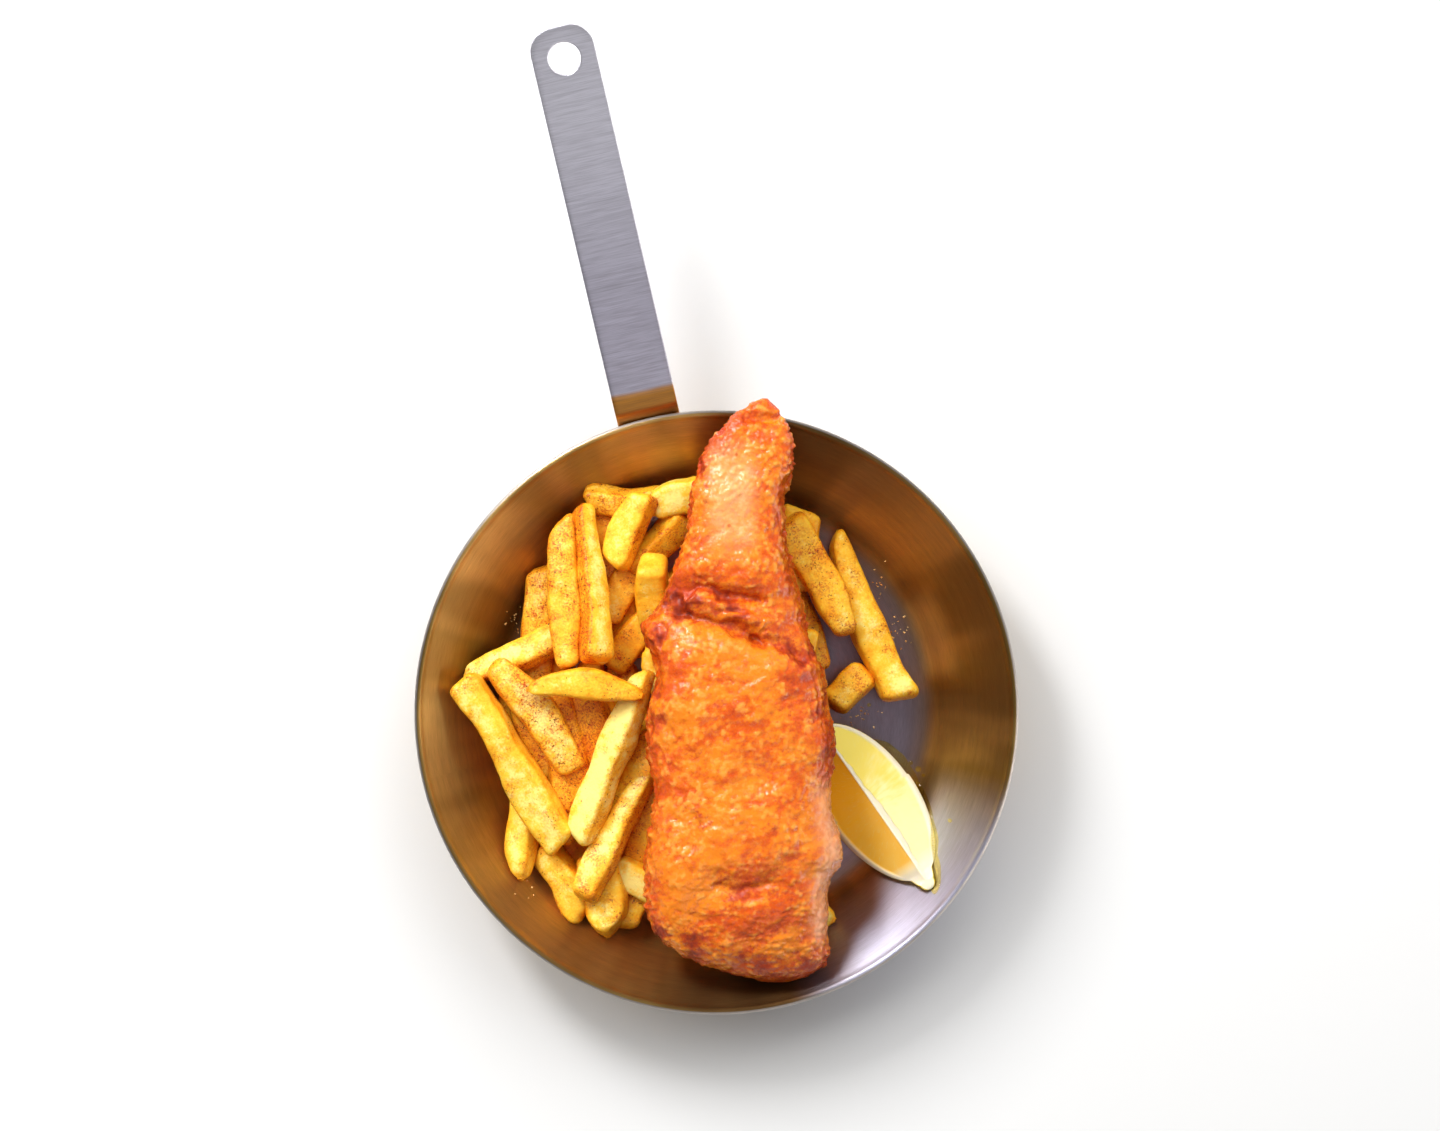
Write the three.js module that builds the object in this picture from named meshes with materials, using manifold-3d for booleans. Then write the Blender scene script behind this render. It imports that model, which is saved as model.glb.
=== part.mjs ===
// Fish and chips served in its pan: a round steel pan with a strip handle, a heap of chips, five loose
// chips, a battered fillet laid over them from wall to wall, and a lemon wedge.
//
// Millimetres, +Z up. The origin is the centre of the pan's flat underside, and the handle runs along +Y.
// The food is laid out in a serving frame of its own, turned about Z against the handle: there +X is the
// diner's right and +Y points away from the diner, with the fillet's tail at the far side.
import * as THREE from "three";
import { ImprovedNoise } from "three/addons/math/ImprovedNoise.js";
import { mergeVertices } from "three/addons/utils/BufferGeometryUtils.js";
import Module from "manifold-3d";

const wasm = await Module();
wasm.setup();

// ---------------------------------------------------------------- driving dimensions
const SERVING_TURN = THREE.MathUtils.degToRad(-13); // the meal's turn against the handle
const GAP = 0.3; // between pieces that touch

const PAN = {
  rimRadius: 120, // outside of the rim
  rimHeight: 40,
  sheet: 2.2, // steel thickness
  floorRadius: 88, // where the floor and the wall would meet without their round
  floorRound: 12,
  segments: 72,
};

const HANDLE = {
  width: 25,
  strip: 3,
  rise: THREE.MathUtils.degToRad(16), // of the grip above the horizontal
  bendRadius: 12,
  legLength: 24, // down the outside of the wall
  tipRadius: 272, // from the pan's axis to the tip
  tipRound: 9.5, // corner radius of the tip
  holeRadius: 6.3,
  holeFromTip: 12.6,
};

const CHIP = { sides: 8, rings: 5, chamfer: 0.24, endRound: 0.1 };

// ---------------------------------------------------------------- solids
/** A closed geometry as a manifold solid. */
function toSolid(geometry) {
  const bare = geometry.clone();
  bare.deleteAttribute("normal");
  bare.deleteAttribute("uv");
  const merged = mergeVertices(bare, 1e-3);
  return new wasm.Manifold(
    new wasm.Mesh({
      numProp: 3,
      vertProperties: new Float32Array(merged.attributes.position.array),
      triVerts: new Uint32Array(merged.index.array),
    }),
  );
}

/** A manifold solid as a geometry, without the loose scraps that cutting leaves. */
function toGeometry(solid) {
  const whole = solid.decompose().reduce((a, b) => (a.volume() > b.volume() ? a : b));
  const mesh = whole.getMesh();
  const geometry = new THREE.BufferGeometry();
  geometry.setAttribute("position", new THREE.BufferAttribute(mesh.vertProperties, 3));
  geometry.setIndex(new THREE.BufferAttribute(mesh.triVerts, 1));
  geometry.computeVertexNormals();
  return geometry;
}

/** Moves every vertex of a geometry through place(x, y, z), which returns a Vector3. */
function reshape(geometry, place) {
  const position = geometry.attributes.position;
  for (let i = 0; i < position.count; i++) {
    const p = place(position.getX(i), position.getY(i), position.getZ(i));
    position.setXYZ(i, p.x, p.y, p.z);
  }
  return geometry;
}

/** Smooth interpolation of one column of a table whose first column falls from row to row. */
function along(table, column, at) {
  const rows = table.length;
  let i = table.findIndex((row) => row[0] <= at);
  i = THREE.MathUtils.clamp(i < 0 ? rows - 1 : i, 1, rows - 1);
  const [before, after] = [table[i - 1], table[i]];
  const t = THREE.MathUtils.clamp((before[0] - at) / (before[0] - after[0]), 0, 1);
  const slope = (j) => {
    const [a, b] = [table[Math.max(j - 1, 0)], table[Math.min(j + 1, rows - 1)]];
    return (b[column] - a[column]) / (b[0] - a[0]);
  };
  const span = after[0] - before[0];
  const [t2, t3] = [t * t, t * t * t];
  return (
    (2 * t3 - 3 * t2 + 1) * before[column] +
    (t3 - 2 * t2 + t) * span * slope(i - 1) +
    (3 * t2 - 2 * t3) * after[column] +
    (t3 - t2) * span * slope(i)
  );
}

// ---------------------------------------------------------------- pan
/** The wall's line in the (radius, height) plane, at a distance outside the pan's inner surface. */
function wallLine(outside) {
  const { rimRadius, rimHeight, sheet, floorRadius, floorRound } = PAN;
  const slope = Math.atan2(rimHeight - sheet, rimRadius - sheet - floorRadius);
  const centre = new THREE.Vector2(floorRadius - floorRound * Math.tan(slope / 2), sheet + floorRound);
  const radius = floorRound + outside;
  const direction = new THREE.Vector2(Math.cos(slope), Math.sin(slope));
  const foot = new THREE.Vector2(Math.sin(slope), -Math.cos(slope)).multiplyScalar(radius).add(centre);
  const length = (rimHeight - sheet / 2 - foot.y) / direction.y;
  return { slope, centre, radius, foot, direction, end: direction.clone().multiplyScalar(length).add(foot) };
}

/** One face of the pan's sheet, from the axis along the floor, round its corner and up the wall. */
function sheetLine(outside, steps) {
  const { slope, centre, radius, end } = wallLine(outside);
  const points = [new THREE.Vector2(0, PAN.sheet - outside)];
  for (let i = 0; i <= steps; i++) {
    const angle = -Math.PI / 2 + (slope * i) / steps;
    points.push(new THREE.Vector2(Math.cos(angle), Math.sin(angle)).multiplyScalar(radius).add(centre));
  }
  points.push(end);
  return points;
}

/** Turns a closed (radius, height) profile about the Z axis. */
function turned(profile, segments) {
  return new THREE.LatheGeometry(profile, segments).rotateX(Math.PI / 2);
}

function panBody() {
  const cornerSteps = 4;
  const lipSteps = 4;
  const outer = sheetLine(PAN.sheet, cornerSteps);
  const inner = sheetLine(0, cornerSteps);
  const [outerEnd, innerEnd] = [outer.at(-1), inner.at(-1)];
  const lipCentre = outerEnd.clone().add(innerEnd).multiplyScalar(0.5);
  const lip = [];
  for (let i = 1; i < lipSteps; i++) {
    lip.push(outerEnd.clone().rotateAround(lipCentre, (Math.PI * i) / lipSteps));
  }
  return toSolid(turned([...outer, ...lip, ...inner.reverse()], PAN.segments));
}

/** The room inside the pan, kept off its steel, and open far above the rim. */
function panRoom() {
  const roomTop = 200;
  const line = sheetLine(-GAP, 4);
  const { direction, end } = wallLine(-GAP);
  const flare = direction.clone().multiplyScalar(roomTop / direction.y).add(end);
  return toSolid(turned([...line, flare, new THREE.Vector2(0, flare.y)], PAN.segments));
}

// ---------------------------------------------------------------- handle
/** The strip's middle line in the (radius, height) plane: leg on the wall, bend, rising grip. */
function stripLine() {
  const { slope, end, direction } = wallLine(PAN.sheet + GAP + HANDLE.strip / 2);
  const steps = 8;
  const leg = direction.clone().multiplyScalar(-HANDLE.legLength).add(end);
  const centre = new THREE.Vector2(Math.sin(slope), -Math.cos(slope)).multiplyScalar(HANDLE.bendRadius).add(end);
  const points = [leg, end.clone()];
  for (let i = 1; i <= steps; i++) {
    points.push(end.clone().rotateAround(centre, ((HANDLE.rise - slope) * i) / steps));
  }
  const bendEnd = points.at(-1);
  const grip = (HANDLE.tipRadius - bendEnd.x) / Math.cos(HANDLE.rise);
  points.push(
    new THREE.Vector2(Math.cos(HANDLE.rise), Math.sin(HANDLE.rise)).multiplyScalar(grip).add(bendEnd),
  );
  return points;
}

/** Both faces of the strip round its middle line, as one closed outline. */
function stripOutline(line) {
  const sides = [1, -1].map((side) =>
    line.map((p, i) => {
      const [a, b] = [line[Math.max(i - 1, 0)], line[Math.min(i + 1, line.length - 1)]];
      const run = b.clone().sub(a).normalize();
      return new THREE.Vector2(-run.y, run.x).multiplyScalar((side * HANDLE.strip) / 2).add(p);
    }),
  );
  return new THREE.Shape([...sides[0], ...sides[1].reverse()]);
}

function panHandle() {
  const { width, tipRound, holeRadius, holeFromTip, rise } = HANDLE;
  const line = stripLine();
  // Shape x runs along the handle, shape y up, and the extrusion across it.
  const lengthwise = new THREE.Matrix4().makeBasis(
    new THREE.Vector3(0, 1, 0),
    new THREE.Vector3(0, 0, 1),
    new THREE.Vector3(1, 0, 0),
  );
  const strip = new THREE.ExtrudeGeometry(stripOutline(line), { depth: width, bevelEnabled: false })
    .translate(0, 0, -width / 2)
    .applyMatrix4(lengthwise);

  // The plan outline, cut square to the grip: its frame has its origin at the tip and y along the grip.
  const tip = line.at(-1);
  const reach = 400;
  const tall = 160;
  const outline = new THREE.Shape()
    .moveTo(-width, -reach)
    .lineTo(width, -reach)
    .lineTo(width, -tipRound)
    .lineTo(width / 2, -tipRound)
    .absarc(width / 2 - tipRound, -tipRound, tipRound, 0, Math.PI / 2)
    .absarc(tipRound - width / 2, -tipRound, tipRound, Math.PI / 2, Math.PI)
    .lineTo(-width, -tipRound);
  const hole = new THREE.Path().absarc(0, -holeFromTip, holeRadius, 0, 2 * Math.PI);
  outline.holes.push(hole);
  const cutter = new THREE.ExtrudeGeometry(outline, { depth: tall, bevelEnabled: false, curveSegments: 14 })
    .translate(0, 0, -tall / 2)
    .rotateX(rise)
    .translate(0, tip.x, tip.y);
  return toSolid(strip).intersect(toSolid(cutter));
}

// ---------------------------------------------------------------- chips
// Each chip is a potato stick from one end of its middle line to the other, at its real place in the serving.
// wide and tall are its section, roll turns that section (degrees), bow lifts its middle across its width,
// and tips are the sizes of its two ends against its middle.
const HEAP_CHIPS = [
  // far side of the heap
  { from: [-51, 83, 21], to: [-19, 84, 21], wide: 11.5, tall: 11, roll: 30, tips: [0.7, 1] },
  { from: [-26, 82, 22], to: [-4, 88, 23], wide: 11.5, tall: 11, roll: 20, tips: [1, 1] },
  { from: [-29, 83, 30], to: [-40.5, 57.5, 27], wide: 11.5, tall: 11, roll: -32, bow: 1.5, tips: [0.85, 0.75] },
  { from: [-12, 79, 18], to: [-34, 56, 16], wide: 12, tall: 11, roll: -35 },
  { from: [-61.5, 75.5, 25], to: [-59.5, 17, 31.5], wide: 13, tall: 11, roll: 0, bow: 1.5, tips: [0.7, 0.9] },
  { from: [-53.5, 81.5, 25], to: [-45.5, 21, 36.5], wide: 10.5, tall: 10.5, roll: 38, tips: [0.8, 1] },
  { from: [-70.5, 57, 14], to: [-71.5, 15, 11], wide: 13, tall: 12, roll: 0, tips: [0.75, 1] },
  { from: [-33, 60, 17], to: [-45.5, 30, 15], wide: 14, tall: 11, roll: -8 },
  { from: [-25.4, 59.5, 36], to: [-31, 31, 18], wide: 13, tall: 12, roll: 0, tips: [1, 0.5] },
  { from: [-29.5, 46, 19], to: [-40, 11, 15], wide: 13, tall: 11, roll: -6 },
  // middle
  { from: [-97, 12.5, 20.5], to: [-60, 30, 19.5], wide: 12, tall: 11, roll: 15, tips: [0.8, 1] },
  { from: [-87.5, 19.5, 30.5], to: [-55, -23.5, 26], wide: 13.5, tall: 11, roll: 0, bow: -2, tips: [0.75, 0.9] },
  { from: [-77, 6, 20], to: [-68, -27, 15], wide: 12, tall: 11, roll: 0 },
  { from: [-75.5, 9, 38.5], to: [-29, 6.5, 42], wide: 11.5, tall: 11, roll: 0, bow: -3.5, tips: [0.35, 0.35] },
  { from: [-54.5, 10, 16], to: [-46.5, -22, 13], wide: 13, tall: 12, roll: 0 },
  { from: [-83, 8, 14], to: [-78, -22, 10], wide: 12, tall: 11, roll: 10 },
  { from: [-28.5, 16, 35], to: [-55.5, -51.5, 31], wide: 11.5, tall: 11.5, roll: 32, tips: [0.6, 1] },
  { from: [-26, -11, 17], to: [-41, -43, 14], wide: 12, tall: 11, roll: 20 },
  // near side
  { from: [-100.5, 11, 30], to: [-62.5, -52.5, 28], wide: 15, tall: 12, roll: -16, tips: [0.75, 1] },
  { from: [-50, -20, 18], to: [-64, -50, 13], wide: 13, tall: 11, roll: 0 },
  { from: [-78, -24, 13], to: [-78.5, -68, 26.5], wide: 13, tall: 12, roll: -24, tips: [1, 0.4] },
  { from: [-27, -22, 26], to: [-52, -70, 33], wide: 12.5, tall: 11.5, roll: 24, bow: 1.5, tips: [0.6, 1] },
  { from: [-68, -54, 16], to: [-53, -83, 22], wide: 13, tall: 12, roll: 20, tips: [0.9, 0.7] },
  { from: [-47.5, -60, 22], to: [-43.5, -91, 26], wide: 12, tall: 12, roll: 40, tips: [1, 0.9] },
  { from: [-41.5, -63, 21], to: [-14, -77, 21], wide: 13, tall: 11, roll: 8 },
  { from: [-29, -64, 13], to: [-37, -87.5, 19], wide: 12, tall: 11, roll: 0, tips: [1, 0.8] },
  { from: [-24.5, 27, 21], to: [-22.5, 5, 20], wide: 10, tall: 10, roll: 30, tips: [0.5, 1] },
];

// Chips that prop the fillet up along its right side, under it.
const BED_CHIPS = [
  { from: [8, 88, 20], to: [30, 44, 24], wide: 12.5, tall: 11, roll: 0 },
  { from: [37, 33, 23], to: [23, -4, 23], wide: 12, tall: 11, roll: 0 },
  { from: [38, -22, 9], to: [30, -66, 9], wide: 13, tall: 12, roll: 0 },
  { from: [28, -18, 22], to: [38, -58, 23], wide: 12, tall: 10, roll: 0 },
  { from: [18, -60, 22], to: [33, -88, 22], wide: 12, tall: 11, roll: 0 },
  { from: [-16, -84, 21], to: [22, -92, 22], wide: 12, tall: 11, roll: 0 },
];
const BED = { inset: 8, top: 28.4 };

// Loose chips on the right, the lowest first: each is fitted to those before it.
const LOOSE_CHIPS = {
  chip_right_long: { from: [49, 71, 10], to: [76, 4, 8.9], wide: 14.5, tall: 12, bow: 1.5, tips: [0.4, 1] },
  chip_right_stub: { from: [46, 1.5, 8.8], to: [61.5, 15.5, 8.8], wide: 13, tall: 12, tips: [1, 0.8] },
  chip_right_tucked: { from: [27, 54, 9], to: [42.5, 16, 9], wide: 12, tall: 12, tips: [1, 0.75] },
  chip_right_leaning: { from: [30.5, 81, 23], to: [53.5, 31, 20.5], wide: 13, tall: 10, bow: -1.5, tips: [0.8, 0.9] },
  chip_near_tip: { from: [33, -78.5, 17], to: [49, -85, 18.5], wide: 10, tall: 9, tips: [1, 0.45] },
};

/** A chip as a stick with chamfered sides, grown outwards by grow where it is used to cut. */
function chip({ from, to, wide, tall, roll = 0, bow = 0, tips = [0.85, 0.85] }, grow = 0) {
  const [start, end] = [new THREE.Vector3(...from), new THREE.Vector3(...to)];
  const axis = end.clone().sub(start).normalize();
  start.addScaledVector(axis, -grow);
  end.addScaledVector(axis, grow);
  const across = axis.clone().cross(new THREE.Vector3(0, 0, 1)).normalize();
  across.applyAxisAngle(axis, THREE.MathUtils.degToRad(roll));
  const up = across.clone().cross(axis);
  const [halfWide, halfTall] = [wide / 2 + grow, tall / 2 + grow];
  const cut = CHIP.chamfer * Math.min(wide, tall);
  const stick = new THREE.CylinderGeometry(1, 1, 1, CHIP.sides, CHIP.rings, false, Math.PI / CHIP.sides);
  return toSolid(
    reshape(stick, (x, y, z) => {
      const ring = (0.5 + y) * CHIP.rings;
      const t = ring < 0.5 ? 0 : ring > CHIP.rings - 0.5 ? 1 : CHIP.endRound + ((ring - 1) / (CHIP.rings - 2)) * (1 - 2 * CHIP.endRound);
      const tip = THREE.MathUtils.lerp(tips[0], tips[1], t);
      const middle = 1 - Math.abs(2 * t - 1) ** 2;
      const endRound = t === 0 || t === 1 ? 0.8 : 1;
      const size = endRound * THREE.MathUtils.lerp(tip, 1, middle);
      const onSide = Math.abs(x) > Math.abs(z);
      const flat = Math.hypot(x, z) < 0.5 ? 0 : 1;
      const a = flat * Math.sign(x) * (onSide ? halfWide : halfWide - cut) * size;
      const b = flat * Math.sign(z) * (onSide ? halfTall - cut : halfTall) * size;
      return start
        .clone()
        .lerp(end, t)
        .addScaledVector(across, a + bow * middle)
        .addScaledVector(up, b);
    }),
  );
}

/** A smooth mound standing on the floor. */
function mound([x, y], [rx, ry, top]) {
  const ball = new THREE.SphereGeometry(1, 24, 12).rotateX(Math.PI / 2);
  return toSolid(ball.scale(rx, ry, top).translate(x, y, 0));
}

/** A block under the fillet that follows its outline, kept inside it so that it never shows from above. */
function bed() {
  const rows = FILLET.filter(([y]) => y < 70 && y > -95);
  const outline = [
    ...rows.map(([y, left]) => new THREE.Vector2(left + BED.inset, y)),
    ...rows.map(([y, , right]) => new THREE.Vector2(right - BED.inset, y)).reverse(),
  ];
  const block = new THREE.ExtrudeGeometry(new THREE.Shape(outline), { depth: BED.top, bevelEnabled: false });
  return toSolid(block);
}

/** The heap: a low core under the pile and under the fillet, and every chip that shows, as one solid. */
function chipsHeap(room, fillet) {
  const pile = mound([-54, -2], [37, 76, 13]);
  const sticks = [...HEAP_CHIPS, ...BED_CHIPS].map((stick) => chip(stick));
  return wasm.Manifold.union([pile, bed(), ...sticks]).intersect(room).subtract(fillet);
}

// ---------------------------------------------------------------- battered fillet
const FILLET_FLOOR = 29; // height of the underside over the chips

// Rows from the tail tip to the thick end: y, left edge, right edge, underside, top.
const FILLET = [
  [124.5, 15, 25, 44, 50],
  [119, 8, 26.5, 41.8, 52],
  [112, 2, 29, 41, 54],
  [103, -5.5, 31, 39.5, 55.5],
  [95, -8, 29.5, 37.5, 56.5],
  [86, -11, 26.5, 35, 58],
  [72, -11.5, 27.5, 32, 58.5],
  [62, -16, 29.5, 30.2, 58.5],
  [50, -20, 33, FILLET_FLOOR, 58.5],
  [40, -25, 36, FILLET_FLOOR, 57],
  [34, -30, 37.5, FILLET_FLOOR, 58],
  [26, -27.5, 39.5, FILLET_FLOOR, 60.5],
  [17, -24.5, 42.5, FILLET_FLOOR, 62],
  [0, -27, 44.5, FILLET_FLOOR, 62.5],
  [-13, -28.5, 47.5, FILLET_FLOOR, 62],
  [-26, -25, 45.5, FILLET_FLOOR, 61.5],
  [-40, -26, 47, FILLET_FLOOR, 62.5],
  [-56, -29, 49.5, FILLET_FLOOR, 62.5],
  [-68, -29.5, 45.5, FILLET_FLOOR, 61],
  [-81, -28.5, 44.5, FILLET_FLOOR, 58.5],
  [-91, -21, 44, FILLET_FLOOR + 0.5, 54.5],
  [-99, -8, 42, FILLET_FLOOR + 1, 49],
  [-106, 8, 27, FILLET_FLOOR + 2, 42],
];

// Creases in the batter, in plan: points along each, its depth and its width.
const CREASES = [
  { line: [[-15, 46], [-7, 51], [4, 46.5], [16, 44.5]], depth: 2.6, width: 4 },
  { line: [[-15, 40], [-3, 35], [8, 33], [15, 30]], depth: 3, width: 4 },
  { line: [[17, 29], [27, 27], [33, 23]], depth: 2.6, width: 4 },
  { line: [[0, -67], [12, -69], [20, -66]], depth: 1.6, width: 5 },
  { line: [[18, 117], [24, 118]], depth: 1.6, width: 4 },
];
const LIP = { line: [[-12, 44], [2, 41], [14, 37.5]], depth: -1.6, width: 4 }; // the rolled fold between two creases

/** How far a point in plan is from a polyline. */
function distanceTo(line, x, y) {
  const [point, nearest] = [new THREE.Vector3(x, y, 0), new THREE.Vector3()];
  return line.slice(1).reduce((least, end, i) => {
    const piece = new THREE.Line3(new THREE.Vector3(...line[i], 0), new THREE.Vector3(...end, 0));
    return Math.min(least, piece.closestPointToPoint(point, true, nearest).distanceTo(point));
  }, Infinity);
}

const ENDS_CLOSER = 0.3;
const TOP_CLOSER = 0.4;
const noise = new ImprovedNoise();

/** How far the batter stands out of the fillet's smooth form: swells, crags, and the creases on top. */
function batterRelief(p, onTop) {
  const swell = (size, seed) => noise.noise(p.x / size + seed, p.y / size, p.z / size + seed);
  const creases = [...CREASES, LIP].reduce(
    (sum, { line, depth, width }) => sum - depth * Math.exp(-((distanceTo(line, p.x, p.y) / width) ** 2)),
    0,
  );
  return 1.7 * swell(17, 3.1) + 1.1 * swell(7.5, 8.4) + onTop * creases;
}

/** The fillet, with a given count of sides and rings, grown outwards by grow where it is used to cut. */
function batteredFillet(sides, rings, grow = 0) {
  const [tail, thick] = [FILLET[0][0] + grow, FILLET.at(-1)[0] - grow];
  const [tailRound, thickRound, squareness] = [0.025, 0.05, 0.78];
  const roundedEnd = (s, length) => Math.sqrt(1 - (1 - Math.min(s / length, 1)) ** 2);
  const section = (v) => Math.sign(v) * Math.abs(v) ** squareness;
  const ball = new THREE.SphereGeometry(1, sides, rings);
  return toSolid(
    reshape(ball, (x, y, z) => {
      const ringShare = Math.acos(THREE.MathUtils.clamp(y, -1, 1)) / Math.PI;
      // 0 at the tail tip, 1 at the thick end, with the rings a little closer towards both
      const s = ringShare - (ENDS_CLOSER * Math.sin(2 * Math.PI * ringShare)) / (2 * Math.PI);
      // The angle in the section, with the sides crowded towards the top, where the creases are.
      const even = Math.atan2(z, x);
      const angle = even + TOP_CLOSER * Math.cos(even);
      const onAxis = Math.hypot(x, z) < 1e-6;
      const [cos, sin] = onAxis ? [0, 0] : [Math.cos(angle), Math.sin(angle)];
      const at = THREE.MathUtils.lerp(tail, thick, s);
      const [left, right, under, top] = [1, 2, 3, 4].map((column) => along(FILLET, column, at));
      const close = Math.min(roundedEnd(s, tailRound), roundedEnd(1 - s, thickRound));
      const edgeHeight = THREE.MathUtils.lerp(under, top, 0.45);
      const p = new THREE.Vector3(
        (left + right) / 2 + close * ((right - left) / 2 + grow) * section(cos),
        at,
        edgeHeight + close * section(sin) * (sin > 0 ? top - edgeHeight + grow : edgeHeight - under + grow),
      );
      // The underside, which rests on the chips, stays nearly smooth.
      const free = THREE.MathUtils.smoothstep(sin, -0.75, 0);
      const out = close * free * batterRelief(p, THREE.MathUtils.smoothstep(sin, 0.2, 0.7));
      return p.addScaledVector(new THREE.Vector3(cos, 0, sin), out);
    }),
  );
}

// ---------------------------------------------------------------- lemon wedge
const LEMON = {
  radius: 28,
  length: 78, // with its nub
  rind: 3.4, // peel and pith together
  core: 1.7, // half the width of the pith along the inner edge
  recess: 0.7, // of the flesh below the cut peel
  angle: THREE.MathUtils.degToRad(80),
  overAxis: 1.2, // height of the inner edge over the lemon's axis
  nub: [85, -69.5, 33.5], // the nub's end in the serving
  stalk: [41, -6.5, 28], // the other end, under the fillet
};

/** The lemon's radius at a distance from its stalk end, with the nub past the end of the round body. */
function lemonRadius(x, peel) {
  const { radius, length } = LEMON;
  const [half, nubRadius] = [(length - 9) / 2 + 1, 4.2];
  const body = radius * Math.sqrt(Math.max(0, 1 - ((x - half) / half) ** 2)) ** 1.1;
  const nub = x < half ? 0 : nubRadius * Math.sqrt(Math.max(0, 1 - ((x - length + nubRadius) / nubRadius) ** 2 * (x > length - nubRadius)));
  return Math.max(Math.hypot(body, nub) - peel, 0);
}

/** A lemon, or its flesh alone without the core, turned about X from the stalk end. */
function lemonBody(peel, core) {
  const steps = 16;
  const segments = 48;
  const outer = [];
  const [first, last] = peel ? [peel, LEMON.length - 9 - peel] : [0, LEMON.length];
  for (let i = 0; i <= steps; i++) {
    const x = first + ((last - first) * (1 - Math.cos((Math.PI * i) / steps))) / 2;
    const edge = i === 0 || i === steps;
    outer.push(new THREE.Vector2(edge ? core : Math.max(lemonRadius(x, peel), core + 0.01), x));
  }
  if (core) outer.push(outer[0].clone());
  const body = new THREE.LatheGeometry(outer, segments);
  return toSolid(body.rotateZ(-Math.PI / 2));
}

/** A prism whose two faces meet along X at the given height, opening downwards. */
function wedgePrism(height) {
  const reach = 60;
  const half = LEMON.angle / 2;
  const section = new THREE.Shape([
    new THREE.Vector2(0, height),
    new THREE.Vector2(-reach * Math.sin(half), height - reach * Math.cos(half)),
    new THREE.Vector2(reach * Math.sin(half), height - reach * Math.cos(half)),
  ]);
  const depth = LEMON.length + 20;
  const lengthwise = new THREE.Matrix4().makeBasis(
    new THREE.Vector3(0, 1, 0),
    new THREE.Vector3(0, 0, 1),
    new THREE.Vector3(1, 0, 0),
  );
  return toSolid(
    new THREE.ExtrudeGeometry(section, { depth, bevelEnabled: false }).applyMatrix4(lengthwise).translate(-10, 0, 0),
  );
}

/** The matrix that lays the wedge in the pan, stalk end under the fillet and inner edge up. */
function lemonPlace() {
  const [stalk, nub] = [new THREE.Vector3(...LEMON.stalk), new THREE.Vector3(...LEMON.nub)];
  const run = nub.sub(stalk).normalize();
  const across = new THREE.Vector3(0, 0, 1).cross(run).normalize();
  const up = run.clone().cross(across);
  return new THREE.Matrix4().makeBasis(run, across, up).setPosition(stalk);
}

function lemonWedge(room, cutters) {
  const knife = wedgePrism(LEMON.overAxis);
  const nubRoom = new THREE.BoxGeometry(12, 14, 14).translate(LEMON.length - 2.5, 0, LEMON.overAxis - 7);
  const whole = lemonBody(0, 0).intersect(knife.add(toSolid(nubRoom)));
  const flesh = lemonBody(LEMON.rind, LEMON.core);
  const recess = flesh.subtract(wedgePrism(LEMON.overAxis - LEMON.recess / Math.sin(LEMON.angle / 2)));
  const wedge = toGeometry(whole.subtract(recess)).applyMatrix4(lemonPlace());
  return cutters.reduce((solid, cutter) => solid.subtract(cutter), toSolid(wedge).intersect(room));
}

// ---------------------------------------------------------------- the served pan
const finish = {
  tintedSteel: new THREE.MeshStandardMaterial({ color: 0x9a6a2c, roughness: 0.35, metalness: 0.9 }),
  brushedSteel: new THREE.MeshStandardMaterial({ color: 0xa9a7b4, roughness: 0.45, metalness: 0.85 }),
  batter: new THREE.MeshStandardMaterial({ color: 0xe07a1e, roughness: 0.5, metalness: 0 }),
  chip: new THREE.MeshStandardMaterial({ color: 0xf0b52e, roughness: 0.6, metalness: 0 }),
  lemon: new THREE.MeshStandardMaterial({ color: 0xf2dc50, roughness: 0.4, metalness: 0 }),
};

function named(name, solid, material) {
  const mesh = new THREE.Mesh(toGeometry(solid), material);
  mesh.name = name;
  return mesh;
}

function serving() {
  const meal = new THREE.Group();
  meal.rotation.z = SERVING_TURN;
  const room = panRoom();
  const filletRoom = batteredFillet(24, 18, 2.2);
  meal.add(named("battered_fish", batteredFillet(44, 46), finish.batter));
  const heap = chipsHeap(room, filletRoom);
  meal.add(named("chips_heap", heap, finish.chip));

  const taken = [filletRoom, heap];
  for (const [name, stick] of Object.entries(LOOSE_CHIPS)) {
    const solid = taken.reduce((left, cutter) => left.subtract(cutter), chip(stick).intersect(room));
    meal.add(named(name, solid, finish.chip));
    taken.push(chip(stick, GAP + 0.1));
  }
  meal.add(named("lemon_wedge", lemonWedge(room, taken), finish.lemon));
  return meal;
}

const fishAndChips = new THREE.Group();
fishAndChips.add(named("pan_body", panBody(), finish.tintedSteel));
fishAndChips.add(named("pan_handle", panHandle(), finish.brushedSteel));
fishAndChips.add(serving());

export default fishAndChips;
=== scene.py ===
"""Looks of fish and chips served in a steel pan.

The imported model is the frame: pan, handle, chips, battered fillet and lemon wedge. Each of its solids is
replaced here by a finely built piece of the same shape in the same place, and what is strewn over them
(spice, crumbs, lemon juice) is added. Sizes are in millimetres and become metres when a mesh is made.
The food is laid out in a serving frame, turned about Z against the pan and its handle.
"""

import logging
import math
from collections.abc import Callable, Mapping, Sequence
from dataclasses import dataclass, field
from enum import Enum
from typing import Any

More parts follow.
